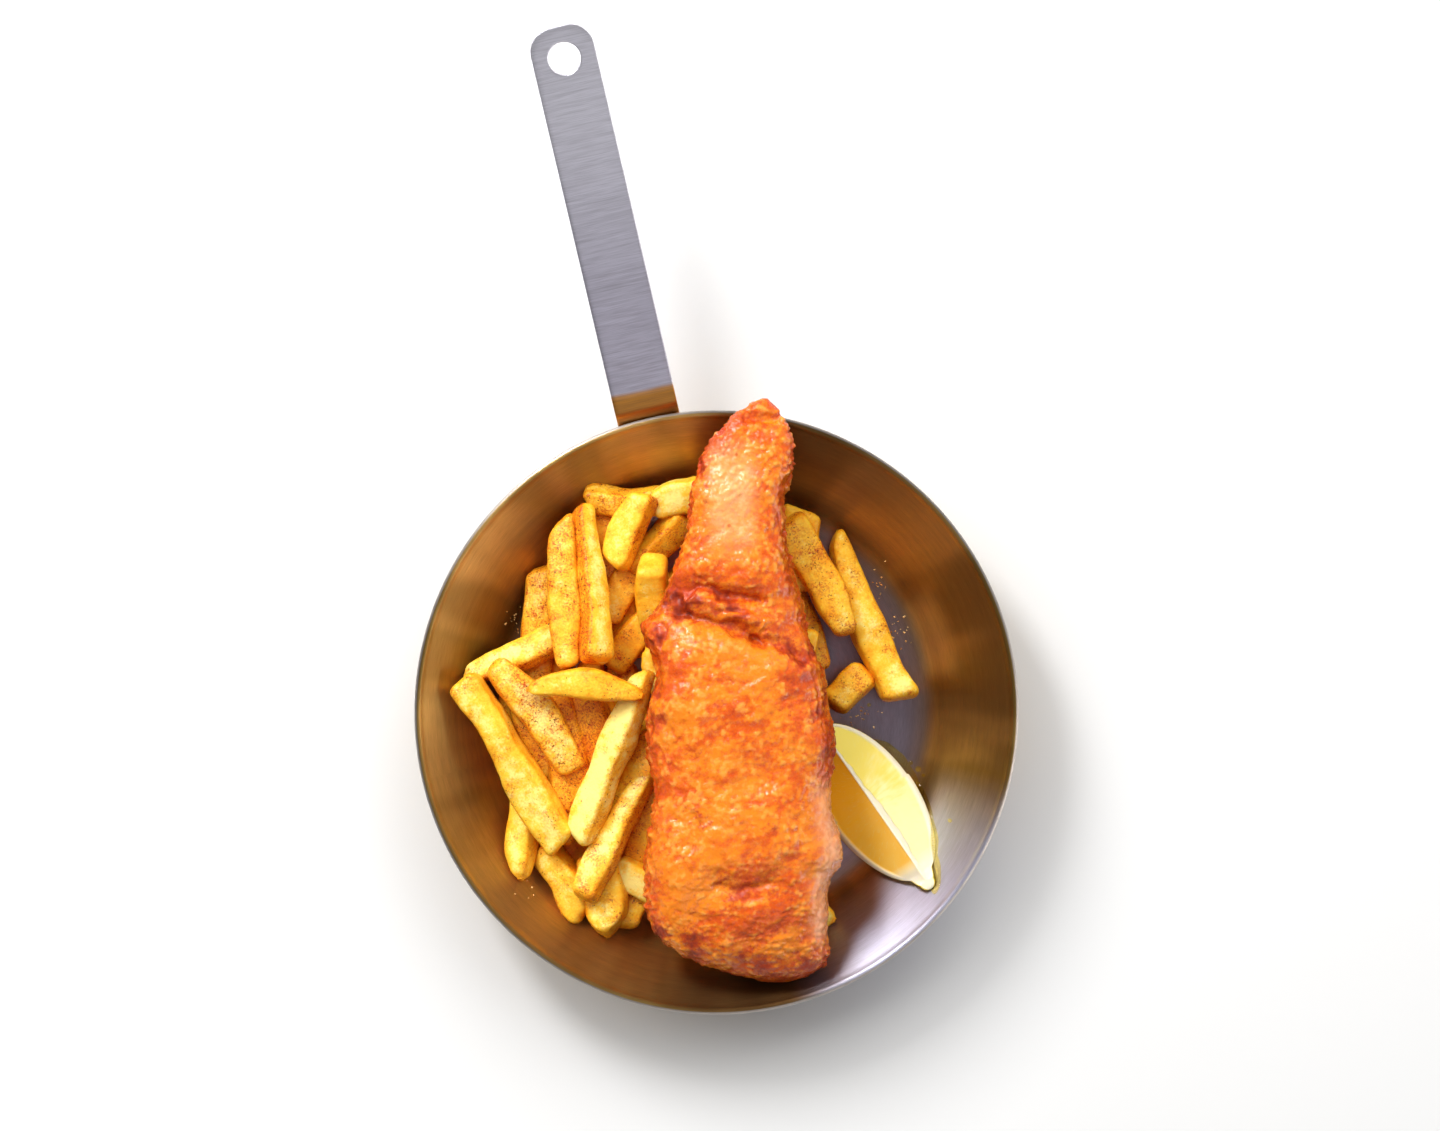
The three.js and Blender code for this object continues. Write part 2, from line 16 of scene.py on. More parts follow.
import bpy
import numpy as np
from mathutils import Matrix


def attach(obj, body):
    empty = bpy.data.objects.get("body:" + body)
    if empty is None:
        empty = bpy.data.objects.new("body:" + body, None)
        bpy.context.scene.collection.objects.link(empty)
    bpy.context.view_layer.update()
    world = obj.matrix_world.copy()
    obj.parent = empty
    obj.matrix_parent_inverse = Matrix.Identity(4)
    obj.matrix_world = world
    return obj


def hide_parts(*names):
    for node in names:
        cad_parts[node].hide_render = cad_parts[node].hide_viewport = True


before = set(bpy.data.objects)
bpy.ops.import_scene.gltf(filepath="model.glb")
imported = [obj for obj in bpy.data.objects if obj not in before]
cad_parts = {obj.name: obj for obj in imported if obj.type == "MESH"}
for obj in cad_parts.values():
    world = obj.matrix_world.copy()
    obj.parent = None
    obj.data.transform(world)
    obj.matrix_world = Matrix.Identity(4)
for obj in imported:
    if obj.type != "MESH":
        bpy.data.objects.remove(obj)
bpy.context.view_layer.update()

log = logging.getLogger("fish_and_chips")

Array = np.ndarray
Point = tuple[float, float, float]
Colour = tuple[float, float, float, float]
Skin = tuple[Array, list[tuple[int, ...]]]  # a mesh's points and faces

MM = 0.001
SERVING_TURN = math.radians(-13.0)


# ------------------------------------------------------------------------------------------ small maths
def smooth(low: float, high: float, value: Any) -> Any:
    """A smooth step of a value from 0 at low to 1 at high; a falling one where low is above high."""
    t = np.clip((value - low) / (high - low), 0.0, 1.0)
    return t * t * (3.0 - 2.0 * t)


def bell(distance: Any, width: float) -> Any:
    """A bell that is 1 at no distance and about a third at its width."""
    return np.exp(-((distance / width) ** 2))


def turn_about_z(points: Array, angle: float) -> Array:
    """Points turned about the Z axis by an angle in radians."""
    c, s = math.cos(angle), math.sin(angle)
    return points @ np.array([[c, s, 0.0], [-s, c, 0.0], [0.0, 0.0, 1.0]])


def unit(vectors: Array) -> Array:
    """Vectors scaled to length 1, along the last axis."""
    return vectors / np.maximum(np.linalg.norm(vectors, axis=-1, keepdims=True), 1e-12)


def heading(angle: float) -> Array:
    """The direction at an angle in a plane."""
    return np.array([math.cos(angle), math.sin(angle)])


def arc(centre: Array, start: Array, angles: Array) -> Array:
    """Points on an arc in a plane.

    Args:
        centre: The arc's centre.
        start: Where it starts.
        angles: How far round the centre each point is from the start.

    Returns:
        The points.
    """
    arm = start - centre
    return centre + arm * np.cos(angles)[:, None] + np.array([-arm[1], arm[0]]) * np.sin(angles)[:, None]


def softened(values: Array) -> Array:
    """Values round a loop, each averaged twice with its neighbours.

    Args:
        values: The values, one a row.

    Returns:
        The softened values.
    """
    for _ in range(2):
        values = (np.roll(values, 1, axis=0) + 2 * values + np.roll(values, -1, axis=0)) / 4
    return values


def distance_to_line(line: Sequence[Sequence[float]], points: Array) -> Array:
    """How far points are from a polyline, in plan.

    Args:
        line: The polyline's corners, x and y.
        points: The points, one a row; only x and y are read.

    Returns:
        One distance a point.
    """
    least, flat = np.full(len(points), np.inf), points[:, :2]
    for a, b in zip(np.array(line[:-1], float), np.array(line[1:], float)):
        run = b - a
        t = np.clip(((flat - a) @ run) / (run @ run), 0.0, 1.0)
        least = np.minimum(least, np.linalg.norm(flat - (a + t[:, None] * run), axis=1))
    return least


def hermite(table: Array, at: Array) -> Array:
    """Smooth interpolation of a table's columns over its falling first column.

    Args:
        table: The table, one station a row.
        at: Where it is read, in the first column's unit.

    Returns:
        One row for each value of at, with the table's other columns.
    """
    keys, values = table[:, 0], table[:, 1:]
    after = np.clip(np.searchsorted(-keys, -at, side="left"), 1, len(keys) - 1)
    before = after - 1

    def slope(j: Array) -> Array:
        """The slope at row j, from its neighbours."""
        a, b = np.maximum(j - 1, 0), np.minimum(j + 1, len(keys) - 1)
        return (values[b] - values[a]) / (keys[b] - keys[a])[:, None]

    t = np.clip((keys[before] - at) / (keys[before] - keys[after]), 0.0, 1.0)[:, None]
    span = (keys[after] - keys[before])[:, None]
    t2, t3 = t * t, t * t * t
    return (
        (2 * t3 - 3 * t2 + 1) * values[before]
        + (t3 - 2 * t2 + t) * span * slope(before)
        + (3 * t2 - 2 * t3) * values[after]
        + (t3 - t2) * span * slope(after)
    )


class Grain:
    """Gradient noise over arrays of points, the same on every run."""

    def __init__(self, seed: int) -> None:
        """Draws the lattice's order, directions and middles.

        Args:
            seed: The seed they are drawn from.
        """
        draw = np.random.default_rng(seed)
        self.order = np.tile(draw.permutation(256), 2)
        self.directions = unit(draw.normal(size=(256, 3)))
        self.centres = draw.random((256, 3))

    def _index(self, cell: Array) -> Array:
        """The lattice index of each cell."""
        c = cell.astype(int) & 255
        return self.order[(self.order[(self.order[c[:, 0]] + c[:, 1]) & 255] + c[:, 2]) & 255]

    def smooth(self, points: Array, size: float | Sequence[float]) -> Array:
        """Smooth noise from about -1 to 1.

        Args:
            points: The points, one a row.
            size: The size of a swell, one number or one for each axis.

        Returns:
            One value a point.
        """
        q = points / np.asarray(size, float)
        cell = np.floor(q)
        f = q - cell
        fade = f * f * f * (f * (f * 6.0 - 15.0) + 10.0)
        total = np.zeros(len(q))
        for corner in np.ndindex(2, 2, 2):
            offset = np.array(corner)
            direction = self.directions[self._index(cell + offset)]
            share = np.prod(np.where(offset == 1, fade, 1.0 - fade), axis=1)
            total += share * np.sum(direction * (f - offset), axis=1)
        return 1.6 * total

    def fractal(self, points: Array, size: float | Sequence[float], octaves: int = 3) -> Array:
        """Smooth noise with finer and weaker noise added.

        Args:
            points: The points, one a row.
            size: The size of the largest swells.
            octaves: The number of sizes, each half the one before.

        Returns:
            One value a point.
        """
        total, weight = np.zeros(len(points)), 1.0
        for octave in range(octaves):
            total += weight * self.smooth(points + 31.7 * octave, np.asarray(size, float) / 2**octave)
            weight *= 0.5
        return total / (2.0 - 2.0 * weight)

    def ridges(self, points: Array, size: Sequence[float], sharp: float) -> Array:
        """Ridges from 0 between them to 1 on their crests."""
        return np.clip(1.0 - np.abs(self.smooth(points, size)) * 2.0, 0.0, 1.0) ** sharp

    def bubbles(self, points: Array, size: float) -> Array:
        """Round domes, one in each cell of a grid.

        Args:
            points: The points, one a row.
            size: The size of a cell.

        Returns:
            One value a point, from 0 around the domes to 1 on top.
        """
        q = points / size
        nearest = np.full(len(q), np.inf)
        for corner in np.ndindex(3, 3, 3):
            neighbour = np.floor(q) + np.array(corner) - 1.0
            centre = neighbour + self.centres[self._index(neighbour)]
            nearest = np.minimum(nearest, np.sum((q - centre) ** 2, axis=1))
        return np.clip(1.0 - nearest / 0.36, 0.0, 1.0)


# ------------------------------------------------------------------------------------------ node trees
class Tree:
    """A node tree, filled through one method."""

    def __init__(self, tree: bpy.types.NodeTree) -> None:
        """Wraps an empty node tree."""
        self.tree = tree

    def add(
        self,
        kind: str,
        settings: Mapping[str, Any] | None = None,
        inputs: Mapping[Any, Any] | None = None,
    ) -> bpy.types.Node:
        """Adds a node.

        Args:
            kind: The node's type.
            settings: Its settings, set first.
            inputs: Socket values or links, by socket name or number.

        Returns:
            The node.
        """
        node = self.tree.nodes.new(kind)
        for name, value in (settings or {}).items():
            setattr(node, name, value)
        for key, value in (inputs or {}).items():
            self.feed(node.inputs[key], value)
        return node

    def number(self, kind: str, *given: Mapping[Any, Any] | None, output: Any = 0) -> "Number":
        """Adds a node with its settings and inputs, and gives one of its outputs as a number."""
        return Number(self, self.add(kind, *given).outputs[output])

    def feed(self, socket: bpy.types.NodeSocket, value: Any) -> None:
        """Links a socket, or sets its value.

        Args:
            socket: The input socket.
            value: A number or another socket to link, or else the value.
        """
        if isinstance(value, Number):
            value = value.socket
        if isinstance(value, bpy.types.NodeSocket):
            self.tree.links.new(value, socket)
        else:
            socket.default_value = value


def operator(operation: str, reflected: bool = False) -> Callable[["Number", Any], "Number"]:
    """A Number's operator that adds a Math node, with its operands swapped where it is reflected."""
    return lambda own, other: own.math(operation, *((other, own) if reflected else (own, other)))


class Number:
    """A number socket, with arithmetic that adds Math nodes."""

    __add__, __radd__ = operator("ADD"), operator("ADD", True)
    __sub__, __rsub__ = operator("SUBTRACT"), operator("SUBTRACT", True)
    __mul__, __rmul__ = operator("MULTIPLY"), operator("MULTIPLY", True)
    __truediv__, __rtruediv__ = operator("DIVIDE"), operator("DIVIDE", True)

    def __init__(self, tree: Tree, socket: bpy.types.NodeSocket) -> None:
        """Wraps a socket of a tree."""
        self.tree, self.socket = tree, socket

    def math(self, operation: str, *operands: Any) -> "Number":
        """A Math node on the given operands, in their order."""
        return self.tree.number("ShaderNodeMath", {"operation": operation}, dict(enumerate(operands)))

    def limit(self) -> "Number":
        """self kept between 0 and 1."""
        return self.math("MAXIMUM", self.math("MINIMUM", self, 1.0), 0.0)

    def step(self, low: float, high: float) -> "Number":
        """A smooth step; a falling one where low is above high.

        Args:
            low: Where it is 0.
            high: Where it is 1.

        Returns:
            The step.
        """
        ends = (1.0, 0.0) if low > high else (0.0, 1.0)
        inputs = {0: self, 1: min(low, high), 2: max(low, high), 3: ends[0], 4: ends[1]}
        return self.tree.number("ShaderNodeMapRange", {"interpolation_type": "SMOOTHSTEP"}, inputs)


class Shader(Tree):
    """A material's node tree round one Principled shader."""

    def __init__(self, name: str, **constants: Any) -> None:
        """Makes the material.

        Args:
            name: The material's name.
            constants: Values of the shader's sockets, with _ for a space in their names.
        """
        self.material = bpy.data.materials.new(name)
        self.material.use_nodes = True
        super().__init__(self.material.node_tree)
        self.tree.nodes.clear()
        self.shader = self.add("ShaderNodeBsdfPrincipled")
        self.add("ShaderNodeOutputMaterial", None, {0: self.shader.outputs[0]})
        self.place = self.add("ShaderNodeTexCoord").outputs["Object"]
        self.surface(**constants)

    def surface(self, **inputs: Any) -> bpy.types.Material:
        """Sets or links the shader's sockets.

        Args:
            inputs: Values or sockets, with _ for a space in the sockets' names.

        Returns:
            The material.
        """
        for name, value in inputs.items():
            self.feed(self.shader.inputs[name.replace("_", " ")], value)
        return self.material

    def noise(self, size: float, detail: float = 2.0, vector: Any = None) -> Number:
        """Noise from 0 to 1.

        Args:
            size: The size of a swell in millimetres.
            detail: The number of finer octaves.
            vector: Where it is read, instead of the piece's own coordinates.

        Returns:
            The noise.
        """
        inputs = {"Vector": vector or self.place, "Scale": 1.0 / (size * MM), "Detail": detail}
        return self.number("ShaderNodeTexNoise", None, inputs)

    def cells(self, size: float) -> Number:
        """The distance from the middle of round cells of a size in millimetres."""
        inputs = {"Vector": self.place, "Scale": 1.0 / (size * MM)}
        return self.number("ShaderNodeTexVoronoi", None, inputs, output="Distance")

    def attribute(self, name: str) -> Number:
        """A number that the piece's mesh holds at each point."""
        return self.number("ShaderNodeAttribute", {"attribute_name": name}, output="Fac")

    def axes(self, vector: Any = None) -> list[Number]:
        """The parts of a vector, or the piece's own x, y and z."""
        apart = self.add("ShaderNodeSeparateXYZ", None, {0: vector or self.place})
        return [Number(self, socket) for socket in apart.outputs]

    def stretched(self, scale: Point, vector: Any = None) -> bpy.types.NodeSocket:
        """Coordinates multiplied along each axis."""
        inputs = {0: vector or self.place, 1: scale}
        return self.add("ShaderNodeVectorMath", {"operation": "MULTIPLY"}, inputs).outputs[0]

    def combined(self, *parts: Any) -> bpy.types.NodeSocket:
        """A vector of three numbers."""
        return self.add("ShaderNodeCombineXYZ", None, dict(enumerate(parts))).outputs[0]

    def coated(self, colour: Any, *coats: tuple[Any, Any]) -> bpy.types.NodeSocket:
        """A colour under coats of other colours.

        Args:
            colour: The lowest colour, or its socket.
            coats: From the lowest, each coat's share and its colour.

        Returns:
            The mixed colour's socket.
        """
        for share, coat in coats:
            node = self.add("ShaderNodeMix", {"data_type": "RGBA"})
            for socket, value in ((0, share), (6, colour), (7, coat)):
                self.feed(node.inputs[socket], value)
            colour = node.outputs[2]
        return colour

    def bump(self, height: Any, depth: float, strength: float) -> bpy.types.NodeSocket:
        """A normal bumped by a relief from 0 to 1 whose full depth is in millimetres."""
        inputs = {"Height": height, "Distance": depth * MM, "Strength": strength}
        return self.add("ShaderNodeBump", None, inputs).outputs[0]


# ------------------------------------------------------------------------------------------ finishes
def rgb(*levels: float) -> Colour:
    """An opaque colour from three numbers from 0 to 255, as a screen shows them."""
    screen = (level / 255.0 for level in levels)
    return (*(c / 12.92 if c <= 0.04045 else ((c + 0.055) / 1.055) ** 2.4 for c in screen), 1.0)


class Slot(Enum):
    """The material slots."""

    PAN = "pan_steel"
    HANDLE = "handle_steel"
    POTATO = "fried_potato"
    BATTER = "fried_batter"
    LEMON = "lemon"


@dataclass(frozen=True)
class TintedSteel:
    """The pan's steel: brushed round, golden brown on the wall and blue-grey on the floor, with painted
    shade, a painted glint and painted highlights on the wall and its rim.
    """

    floor: Colour = rgb(188, 176, 196)
    floor_edge: Colour = rgb(184, 146, 112)
    wall_low: Colour = rgb(228, 179, 101)
    wall_high: Colour = rgb(230, 185, 108)
    dark_tint: Colour = rgb(156, 124, 66)
    # Painted shade, where the fillet's near end and its tail shade the wall.
    dark_brown_and_shade: Colour = rgb(90, 50, 34)
    # Bare steel without heat tint, also a painted highlight on the wall across from the lamps.
    bare_and_highlight: Colour = rgb(218, 218, 240)
    # A painted gold glint, low on the wall.
    gold_glint: Colour = rgb(255, 222, 150)
    # A light line painted round the rim, a painted highlight.
    rim: Colour = rgb(214, 204, 196)
    scratch: Colour = (0.02, 0.015, 0.012, 1.0)
    roughness: float = 0.42

    def _sectors(self) -> tuple[tuple[Any, ...], ...]:
        """Where the wall's colour changes round the pan: two sectors of painted shade, a painted gold glint
        low on the wall, and bare steel that also carries a painted highlight.

        Returns:
            The direction in degrees, the cosines from it at which the tint begins and is full, the heights
            at which it begins and is full, its share, and its colour.
        """
        return (
            (-94.0, 0.92, 0.985, 0.014, 0.030, 0.68, self.dark_brown_and_shade),
            (56.0, 0.88, 0.985, 0.014, 0.030, 0.4, self.dark_brown_and_shade),
            (6.0, 0.975, 0.997, 0.022, 0.010, 0.9, self.gold_glint),
            (-57.0, 0.85, 0.97, 0.002, 0.022, 0.94, self.bare_and_highlight),
        )

    def material(self) -> bpy.types.Material:
        """The finish as a material."""
        s = Shader("tinted_steel", Metallic=1.0, Anisotropic=0.75, Anisotropic_Rotation=0.25)
        x, y, z = s.axes()
        radius = (x * x + y * y).math("SQRT", x * x + y * y)
        rings = s.combined(radius + z * 0.7, y.math("ARCTAN2", y, x) * 0.004, 0.0)
        fine, broad = s.noise(0.22, 3.0, rings), s.noise(2.6, 2.0, rings)
        cloud, patch = s.noise(46.0), s.noise(20.0, 3.0)
        side_x, side_y = x / radius, y / radius
        fan = s.noise(30.0, 2.0, s.combined(side_x * 0.1, side_y * 0.1, z * 0.3))
        wall = s.coated(
            self.wall_low,
            (z.step(0.006, 0.036), self.wall_high),
            (fan.step(0.42, 0.64) * 0.8, self.dark_tint),
        )
        # Sectors of painted shade, a painted gold glint and bare steel with a painted highlight, each over
        # part of the wall.
        for turned, near, full, low, high, share, tint in self._sectors():
            c, d = heading(math.radians(turned)).tolist()
            facing = side_x * c + side_y * d
            wall = s.coated(wall, (facing.step(near, full) * z.step(low, high) * share, tint))
        edge = radius + (cloud - 0.5) * 0.003
        on_wall = edge.step(0.0835, 0.0900)
        colour = s.coated(
            self.floor,
            (edge.step(0.076, 0.0865) * 0.8, self.floor_edge),
            (on_wall, wall),
            # The rim painted light as its highlight.
            (radius.step(0.1184, 0.1191), self.rim),
            ((fine - 0.5) * 0.5 + (broad - 0.5) * 0.3 + 0.14, self.scratch),
        )
        rough = self.roughness + (fine - 0.5) * 0.16 + (patch - 0.5) * 0.10 + on_wall * 0.06
        return s.surface(Base_Color=colour, Roughness=rough.limit(), Normal=s.bump(fine, 0.012, 0.35))


@dataclass(frozen=True)
class BrushedSteel:
    """The handle's steel: brushed across the strip, with a golden heat tint next to the pan, and painted
    lighter towards its far end as a painted reflection.
    """

    steel: Colour = rgb(206, 201, 215)
    steel_far_highlight: Colour = rgb(248, 245, 255)
    tint: Colour = rgb(206, 142, 66)
    tint_edge: Colour = rgb(214, 156, 96)
    scratch: Colour = rgb(70, 66, 76)
    roughness: float = 0.42

    def material(self) -> bpy.types.Material:
        """The finish as a material."""
        s = Shader("brushed_steel", Metallic=1.0)
        y = s.axes()[1]
        across = s.stretched((0.035, 1.0, 1.0))
        fine, coarse = s.noise(0.3, 3.0, across), s.noise(1.2, 3.0, across)
        along = y + (s.noise(30.0) - 0.5) * 0.003
        shade = (fine - 0.5) * 0.5 + (coarse - 0.5) * 0.35 + 0.10
        colour = s.coated(
            self.steel,
            # The far part of the grip painted lighter, a painted reflection.
            (y.step(0.15, 0.25), self.steel_far_highlight),
            (along.step(0.1318, 0.1298), self.tint_edge),
            (along.step(0.1302, 0.1282), self.tint),
            (shade.limit(), self.scratch),
        )
        rough = self.roughness + (coarse - 0.5) * 0.2 + (fine - 0.5) * 0.15
        return s.surface(Base_Color=colour, Roughness=rough.limit(), Normal=s.bump(fine, 0.012, 0.5))


@dataclass(frozen=True)
class FriedPotato:
    """Chips: yellow inside a golden skin, toasted along edges, dusted with red spice, with faces that turn
    from the top painted deeper orange as shade.
    """

    cream: Colour = rgb(255, 230, 130)
    pale: Colour = rgb(255, 200, 56)
    golden: Colour = rgb(250, 168, 24)
    orange: Colour = rgb(228, 118, 18)
    toast: Colour = rgb(180, 74, 16)
    powder: Colour = rgb(190, 70, 22)
    speck: Colour = rgb(110, 42, 14)

    def material(self) -> bpy.types.Material:
        """The finish as a material."""
        s = Shader(
            "fried_potato",
            Subsurface_Weight=0.2,
            Subsurface_Radius=(1.0, 0.5, 0.15),
            Subsurface_Scale=0.003,
            Specular_IOR_Level=0.35,
        )
        tone, spice, edge, side = map(s.attribute, ("tone", "spice", "edge", "side"))
        cloud, patch, grain = s.noise(14.0), s.noise(4.0, 4.0), s.noise(0.9, 3.0)
        # Faces that turn away from the top are painted deeper orange as painted shade; edges are toasted, and
        # tone and noise vary at random.
        depth = side * 0.35 + edge * 0.22 + tone + (cloud - 0.5) + (patch - 0.5) * 1.2 + (grain - 0.5) * 0.8
        # Side faces add a little painted shade to the toasting.
        toasted = (edge * 0.1 + side * 0.15 + (patch - 0.5) * 1.8 + tone * 0.3).step(0.55, 1.2)
        dust = (spice + (s.noise(7.0, 3.0) - 0.5) * 1.9).step(0.15, 1.0)
        clump = s.noise(0.8, 3.0).step(0.42, 0.62) * 0.6 + s.noise(2.6, 3.0).step(0.56, 0.68) * 0.5
        colour = s.coated(
            self.cream,
            (depth.step(-0.05, 0.45), self.pale),
            (depth.step(0.3, 0.95), self.golden),
            (depth.step(0.8, 1.5), self.orange),
            (toasted * 0.6, self.toast),
            ((dust * (clump + 0.1)).limit(), self.powder),
            ((s.noise(1.0) + dust * 0.08).step(0.70, 0.75) * 0.85, self.speck),
        )
        return s.surface(
            Base_Color=colour,
            Roughness=(0.42 + (grain - 0.5) * 0.4 + (patch - 0.5) * 0.3).limit(),
            Normal=s.bump(grain * 0.6 + s.noise(2.2, 3.0) * 0.7, 0.34, 1.0),
        )


@dataclass(frozen=True)
class FriedBatter:
    """Crisp batter: orange gold, red-brown along its sides and in browned patches, with painted shade in its
    creases, painted highlights on raised bumps, a painted sheen on the tail and the right edge, and an oily
    sheen.
    """

    # A painted highlight on raised bumps.
    light: Colour = rgb(248, 170, 74)
    gold: Colour = rgb(234, 128, 28)
    orange: Colour = rgb(210, 83, 17)
    # Red-brown: browning, and painted shade in the creases.
    russet: Colour = rgb(176, 54, 14)
    # Darkest brown: browned patches, and painted shade in the deepest creases.
    dark_brown_and_shade: Colour = rgb(116, 26, 8)
    # A painted sheen on the tail and along the right edge.
    pale: Colour = rgb(252, 182, 124)

    def material(self) -> bpy.types.Material:
        """The finish as a material."""
        s = Shader(
            "fried_batter",
            Subsurface_Weight=0.10,
            Subsurface_Radius=(1.0, 0.35, 0.1),
            Subsurface_Scale=0.003,
            Specular_IOR_Level=0.5,
        )
        crease, crag, pallor, lift = map(s.attribute, ("crease", "crag", "pallor", "lift"))
        across = s.stretched((0.5, 1.0, 1.0))
        cloud, patch = s.noise(24.0, 3.0, across), s.noise(7.0, 4.0, across)
        fleck, grain = s.noise(2.2, 3.0), s.noise(0.9)
        # Browning varies at random and along the sides; raised bumps are painted lighter here and below as a
        # painted highlight.
        heat = (cloud - 0.5) * 1.7 + (patch - 0.5) * 1.5 + crag * 0.6 + (grain - 0.5) * 0.5 - lift * 0.4
        raised = (lift + (fleck - 0.5) * 1.4 - (cloud - 0.5) * 0.8).step(0.3, 0.9)
        # Painted sheen: lighter on the tail and along the right edge.
        sheen_share = pallor * (0.65 + (patch - 0.5) * 1.2 + (fleck - 0.5) * 1.2).limit()
        # Painted shade: darker where the crease number is high, in creases, furrows, fold and wrinkle
        # valleys, which it holds with real browned patches and brown sides.
        deep = (crease + (fleck - 0.5) * 0.9 + (grain - 0.5) * 0.6).step(0.2, 0.8)
        spots = s.cells(7.0).step(0.14, 0.06) * s.noise(13.0).step(0.5, 0.62)
        colour = s.coated(
            self.gold,
            ((heat + (fleck - 0.5) * 0.8 + 0.5).step(0.1, 0.75), self.orange),
            ((heat + (fleck - 0.5) * 1.1).step(0.2, 0.8) * 0.9, self.russet),
            (raised * 0.5, self.light),
            (sheen_share * 0.85, self.pale),
            (deep * 0.9, self.russet),
            ((crease + (fleck - 0.5) * 1.1).step(0.65, 1.2) * 0.9, self.dark_brown_and_shade),
            (spots * 0.6, self.russet),
        )
        return s.surface(
            Base_Color=colour,
            Roughness=(0.22 + (fleck - 0.5) * 0.5 + (patch - 0.5) * 0.3 + crease * 0.2).limit(),
            Normal=s.bump(s.noise(1.2) * 0.6 + s.noise(2.8, 3.0) * 0.9, 0.36, 1.0),
        )


@dataclass(frozen=True)
class CutLemon:
    """Cut lemon: wet pale flesh with fine radial pulp, white pith and a yellow, pitted rind."""

    flesh: Colour = rgb(254, 249, 182)
    flesh_deep: Colour = rgb(248, 230, 112)
    shaded: Colour = rgb(228, 170, 40)
    pulp_line: Colour = rgb(246, 242, 186)
    pith: Colour = rgb(240, 232, 204)
    rind: Colour = rgb(214, 186, 40)
    glow: Colour = rgb(236, 172, 16)

    def material(self) -> bpy.types.Material:
        """The finish as a material."""
        s = Shader(
            "cut_lemon",
            Subsurface_Weight=0.3,
            Subsurface_Radius=(1.0, 0.85, 0.3),
            Subsurface_Scale=0.004,
            Specular_IOR_Level=0.4,
            Coat_Roughness=0.12,
            Emission_Strength=0.4,
        )
        pith, rind, far_face = map(s.attribute, ("pith", "rind", "far_face"))
        strip = s.add("ShaderNodeTexCoord").outputs["UV"]
        pulp = s.noise(2.6, 2.0, s.stretched((0.080, 0.007, 0.0), strip))
        fine = s.noise(1.1, 2.0, s.stretched((0.080, 0.010, 0.0), strip))
        cloud, along = s.noise(12.0), s.axes(strip)[0]
        # Flesh lighter towards the nub, with noise.
        flesh_mix = (pulp - 0.5) * 0.7 + (cloud - 0.5) * 0.8 + along * 1.3
        colour = s.coated(
            self.flesh_deep,
            (flesh_mix.step(0.25, 0.85), self.flesh),
            (far_face * (0.6 + cloud * 0.4).limit(), self.shaded),
            (fine.step(0.55, 0.75) * 0.2, self.pulp_line),
            (pith, self.pith),
            (rind, self.rind),
        )
        skin = 1.0 - s.cells(1.6).step(0.42, 0.1)
        return s.surface(
            Base_Color=colour,
            Roughness=(0.25 + pith * 0.3 + rind * 0.1).limit(),
            Coat_Weight=(0.5 - pith * 0.45).limit(),
            Emission_Color=s.coated((0.0, 0.0, 0.0, 1.0), (far_face * (0.5 + along * 0.5), self.glow)),
            Normal=s.bump(pulp + rind * (skin - pulp), 0.12, 0.5),
        )


@dataclass(frozen=True)
class Plain:
    """A small scattered thing: one colour with a little cloud in it."""

    name: str
    light: Colour
    dark: Colour
    roughness: float = 0.6

    def material(self) -> bpy.types.Material:
        """The finish as a material."""
        s = Shader(self.name, Roughness=self.roughness)
        return s.surface(Base_Color=s.coated(self.light, (s.noise(3.0).step(0.35, 0.65), self.dark)))


@dataclass(frozen=True)
class Juice:
    """A thin wet film of lemon juice and oil."""

    colour: Colour = rgb(252, 232, 120)

    def material(self) -> bpy.types.Material:
        """The finish as a material."""
        s = Shader("lemon_juice", Base_Color=self.colour, Transmission_Weight=1.0, IOR=1.36, Alpha=0.5)
        return s.surface(Roughness=(0.03 + s.noise(6.0) * 0.04).limit())


# ------------------------------------------------------------------------------------------ meshes
def capped(first: Any, values: Array, last: Any) -> Array:
    """What a tube's rings hold, point by point, between what its two end points hold."""
    return np.concatenate([[first], values.reshape(-1, *values.shape[2:]), [last]])


def tube(rings: Array, ends: Array | None = None) -> Skin:
    """A closed tube that narrows to one point at each end.

    Args:
        rings: The rings' points, ring by side by 3.
        ends: The two end points, or none for the middles of the first and last rings.

    Returns:
        Its points, an end first and an end last, and its faces.
    """
    count, sides = rings.shape[:2]
    first, last = (rings[0].mean(axis=0), rings[-1].mean(axis=0)) if ends is None else ends
    j = np.arange(sides)
    k = (j + 1) % sides
    tip = 1 + count * sides
    rows = 1 + sides * np.arange(count - 1)[:, None]
    quads = np.stack([rows + j, rows + k, rows + sides + k, rows + sides + j], axis=-1)
    faces = [(0, 1 + b, 1 + a) for a, b in zip(j, k)] + [tuple(q) for q in quads.reshape(-1, 4).tolist()]
    return capped(first, rings, last), faces + [(tip, tip - sides + a, tip - sides + b) for a, b in zip(j, k)]


def grid_faces(wide: int, rows: int) -> list[tuple[int, ...]]:
    """The faces of an open grid of points that run row by row."""
    return [(a, a + 1, a + 1 + wide, a + wide) for a in range(wide * (rows - 1)) if (a + 1) % wide]


def joined(parts: Sequence[Skin]) -> Skin:
    """Several skins as one.

    Args:
        parts: Each one's points and faces.

    Returns:
        Their points and faces.
    """
    faces, offset = [], 0
    for points, part in parts:
        faces += [tuple(v + offset for v in face) for face in part]
        offset += len(points)
    return np.vstack([points for points, _ in parts]), faces


def linked(name: str, data: Any) -> bpy.types.Object:
    """A new object in the scene, at the origin.

    Args:
        name: Its name.
        data: Its mesh, light or camera.

    Returns:
        The object.
    """
    made = bpy.data.objects.new(name, data)
    bpy.context.scene.collection.objects.link(made)
    return made


